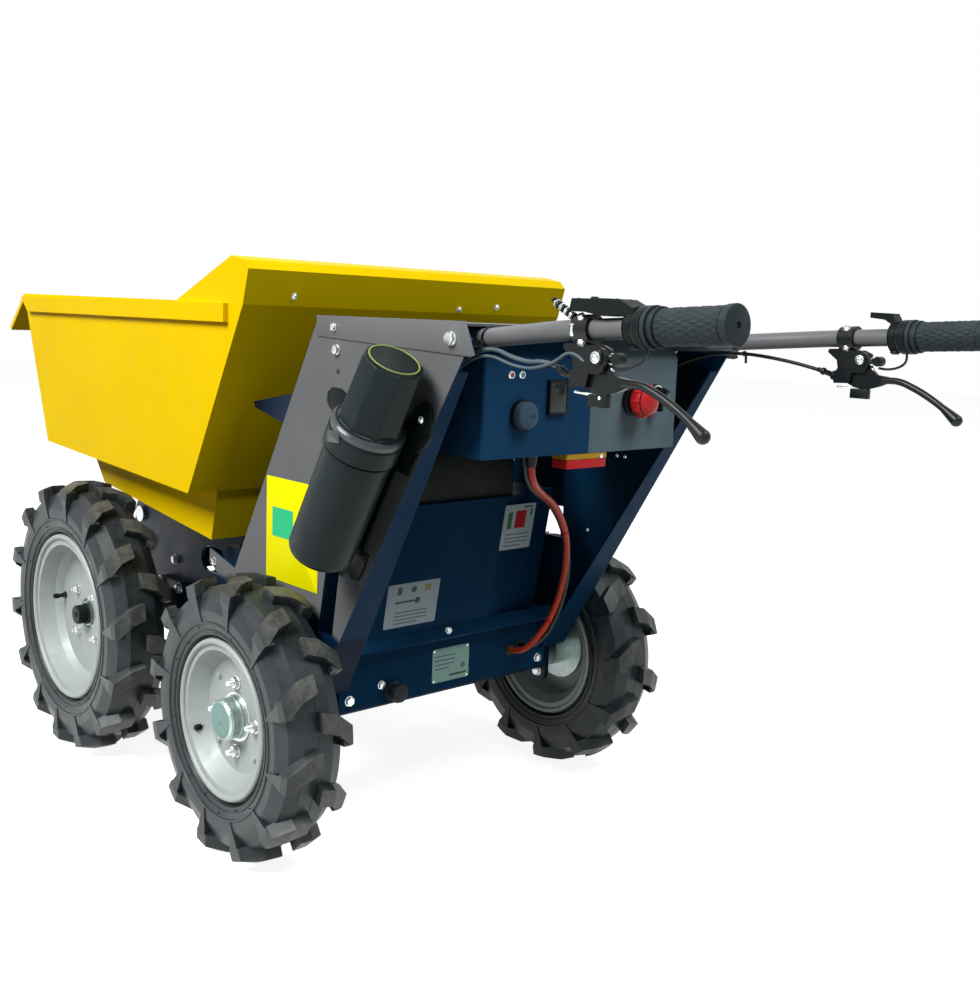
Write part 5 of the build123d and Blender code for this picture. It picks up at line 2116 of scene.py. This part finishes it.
# ---- studio
@dataclass
class Studio:
    """Pale floor, white surroundings, soft lamps and the camera. Lengths are in metres.

    Attributes:
        eye: where the camera stands.
        heading: direction in plan that it looks in, in degrees from +X.
        dip: how far it looks down, in degrees.
        roll: its turn about its own line of sight, in degrees.
        lens: focal length in millimetres, on a 36 mm wide sensor.
        fill: strength of the surroundings' own light.
        floor_glow: what the floor adds to itself where it is seen, so that it shows white.
        floor_bounce: how much light the floor throws back at the machine.
    """

    eye: Point = (-1.4421, 1.1157, 0.7628)
    heading: float = -42.42
    dip: float = 8.45
    roll: float = 2.2
    lens: float = 42.3
    fill: float = 0.12
    floor_glow: float = 0.88
    floor_bounce: float = 0.16

    def build(self) -> None:
        """Sets up the whole studio."""
        self.camera()
        self.world()
        self.floor()
        self.lamps()
        bpy.context.scene.view_settings.view_transform = "Standard"

    def camera(self) -> None:
        """Makes the camera and the scene's use of it."""
        data = bpy.data.cameras.new("camera")
        data.sensor_width = 36.0
        data.lens = self.lens
        data.clip_end = 60.0
        camera = bpy.data.objects.new("camera", data)
        heading, dip = math.radians(self.heading), math.radians(self.dip)
        level = math.cos(dip)
        ahead = Vector((math.cos(heading) * level, math.sin(heading) * level, -math.sin(dip)))
        aim = ahead.to_track_quat("-Z", "Y").to_matrix().to_4x4()
        roll = Matrix.Rotation(math.radians(self.roll), 4, "Z")
        camera.matrix_world = Matrix.Translation(self.eye) @ aim @ roll
        bpy.context.scene.collection.objects.link(camera)
        bpy.context.scene.camera = camera

    def world(self) -> None:
        """White for the camera and in reflections, and a dim fill for everything else."""
        world = bpy.data.worlds.new("studio")
        world.use_nodes = True
        nodes, links = world.node_tree.nodes, world.node_tree.links
        nodes.clear()
        output = nodes.new("ShaderNodeOutputWorld")
        white = nodes.new("ShaderNodeBackground")
        white.inputs["Color"].default_value = (1.0, 1.0, 1.0, 1.0)
        white.inputs["Strength"].default_value = 1.0
        fill = nodes.new("ShaderNodeBackground")
        fill.inputs["Color"].default_value = (0.8, 0.98, 1.0, 1.0)
        fill.inputs["Strength"].default_value = self.fill
        mix = nodes.new("ShaderNodeMixShader")
        links.new(self.seen(nodes, links), mix.inputs["Fac"])
        links.new(fill.outputs[0], mix.inputs[1])
        links.new(white.outputs[0], mix.inputs[2])
        links.new(mix.outputs[0], output.inputs["Surface"])
        bpy.context.scene.world = world

    @staticmethod
    def seen(nodes: bpy.types.Nodes, links: bpy.types.NodeLinks) -> Socket:
        """1 for rays that show the surroundings: camera, glossy and transmission rays.

        Args:
            nodes: the tree's nodes.
            links: the tree's links.

        Returns:
            The share.
        """
        path = nodes.new("ShaderNodeLightPath")
        total = path.outputs["Is Camera Ray"]
        for name in ("Is Glossy Ray", "Is Transmission Ray"):
            join = nodes.new("ShaderNodeMath")
            join.operation = "MAXIMUM"
            links.new(total, join.inputs[0])
            links.new(path.outputs[name], join.inputs[1])
            total = join.outputs[0]
        return total

    def floor(self) -> None:
        """A wide pale floor that shows white and keeps the machine's soft shadow."""
        mesh = bpy.data.meshes.new("floor")
        part = bmesh.new()
        bmesh.ops.create_grid(part, x_segments=1, y_segments=1, size=14.0)
        part.to_mesh(mesh)
        part.free()
        floor = bpy.data.objects.new("floor", mesh)
        bpy.context.scene.collection.objects.link(floor)
        material = bpy.data.materials.new("studio_floor")
        material.use_nodes = True
        nodes, links = material.node_tree.nodes, material.node_tree.links
        nodes.clear()
        output = nodes.new("ShaderNodeOutputMaterial")
        matt = nodes.new("ShaderNodeBsdfDiffuse")
        matt.inputs["Color"].default_value = (0.8, 0.8, 0.8, 1.0)
        glow = nodes.new("ShaderNodeEmission")
        glow.inputs["Strength"].default_value = self.floor_glow
        pale = nodes.new("ShaderNodeAddShader")
        links.new(matt.outputs[0], pale.inputs[0])
        links.new(glow.outputs[0], pale.inputs[1])
        dim = nodes.new("ShaderNodeBsdfDiffuse")
        dim.inputs["Color"].default_value = (self.floor_bounce,) * 3 + (1.0,)
        mix = nodes.new("ShaderNodeMixShader")
        links.new(self.seen(nodes, links), mix.inputs["Fac"])
        links.new(dim.outputs[0], mix.inputs[1])
        links.new(pale.outputs[0], mix.inputs[2])
        links.new(mix.outputs[0], output.inputs["Surface"])
        mesh.materials.append(material)

    def lamps(self) -> None:
        """A broad high key lamp on the left and a weaker one behind."""
        self.lamp("key", (-0.1, 2.9, 3.3), (0.0, 0.0, 0.4), 1.9, 200.0, (1.0, 1.0, 1.0))
        self.lamp("rear", (-2.3, -0.5, 3.7), (-0.2, 0.0, 0.4), 2.0, 72.0, (0.86, 0.98, 1.0))

    @staticmethod
    def lamp(name: str, at: Point, aim: Point, size: float, power: float, colour: Colour) -> None:
        """One square area lamp turned towards a point.

        Args:
            name: the lamp's name.
            at: where it stands.
            aim: the point it lights.
            size: length of its side.
            power: in watts.
            colour: of its light.
        """
        data = bpy.data.lights.new(name, "AREA")
        data.shape = "SQUARE"
        data.size = size
        data.energy = power
        data.color = colour
        lamp = bpy.data.objects.new(name, data)
        lamp.location = at
        lamp.rotation_euler = (Vector(aim) - Vector(at)).to_track_quat("-Z", "Y").to_euler()
        bpy.context.scene.collection.objects.link(lamp)


def main() -> None:
    """Builds the studio and every sub-assembly's pieces in order."""
    logging.basicConfig(level=logging.INFO, format="%(message)s")
    Studio().build()
    finishes = Finishes()
    for axle in Axle:
        for side in Side:
            WheelDress(finishes, axle, side).dress()
    for dress in (ChassisDress, TowerDress, DashDress, BarDress, CanisterDress, CableDress, SkipDress):
        dress(finishes).dress()


if __name__ == "__main__":
    main()
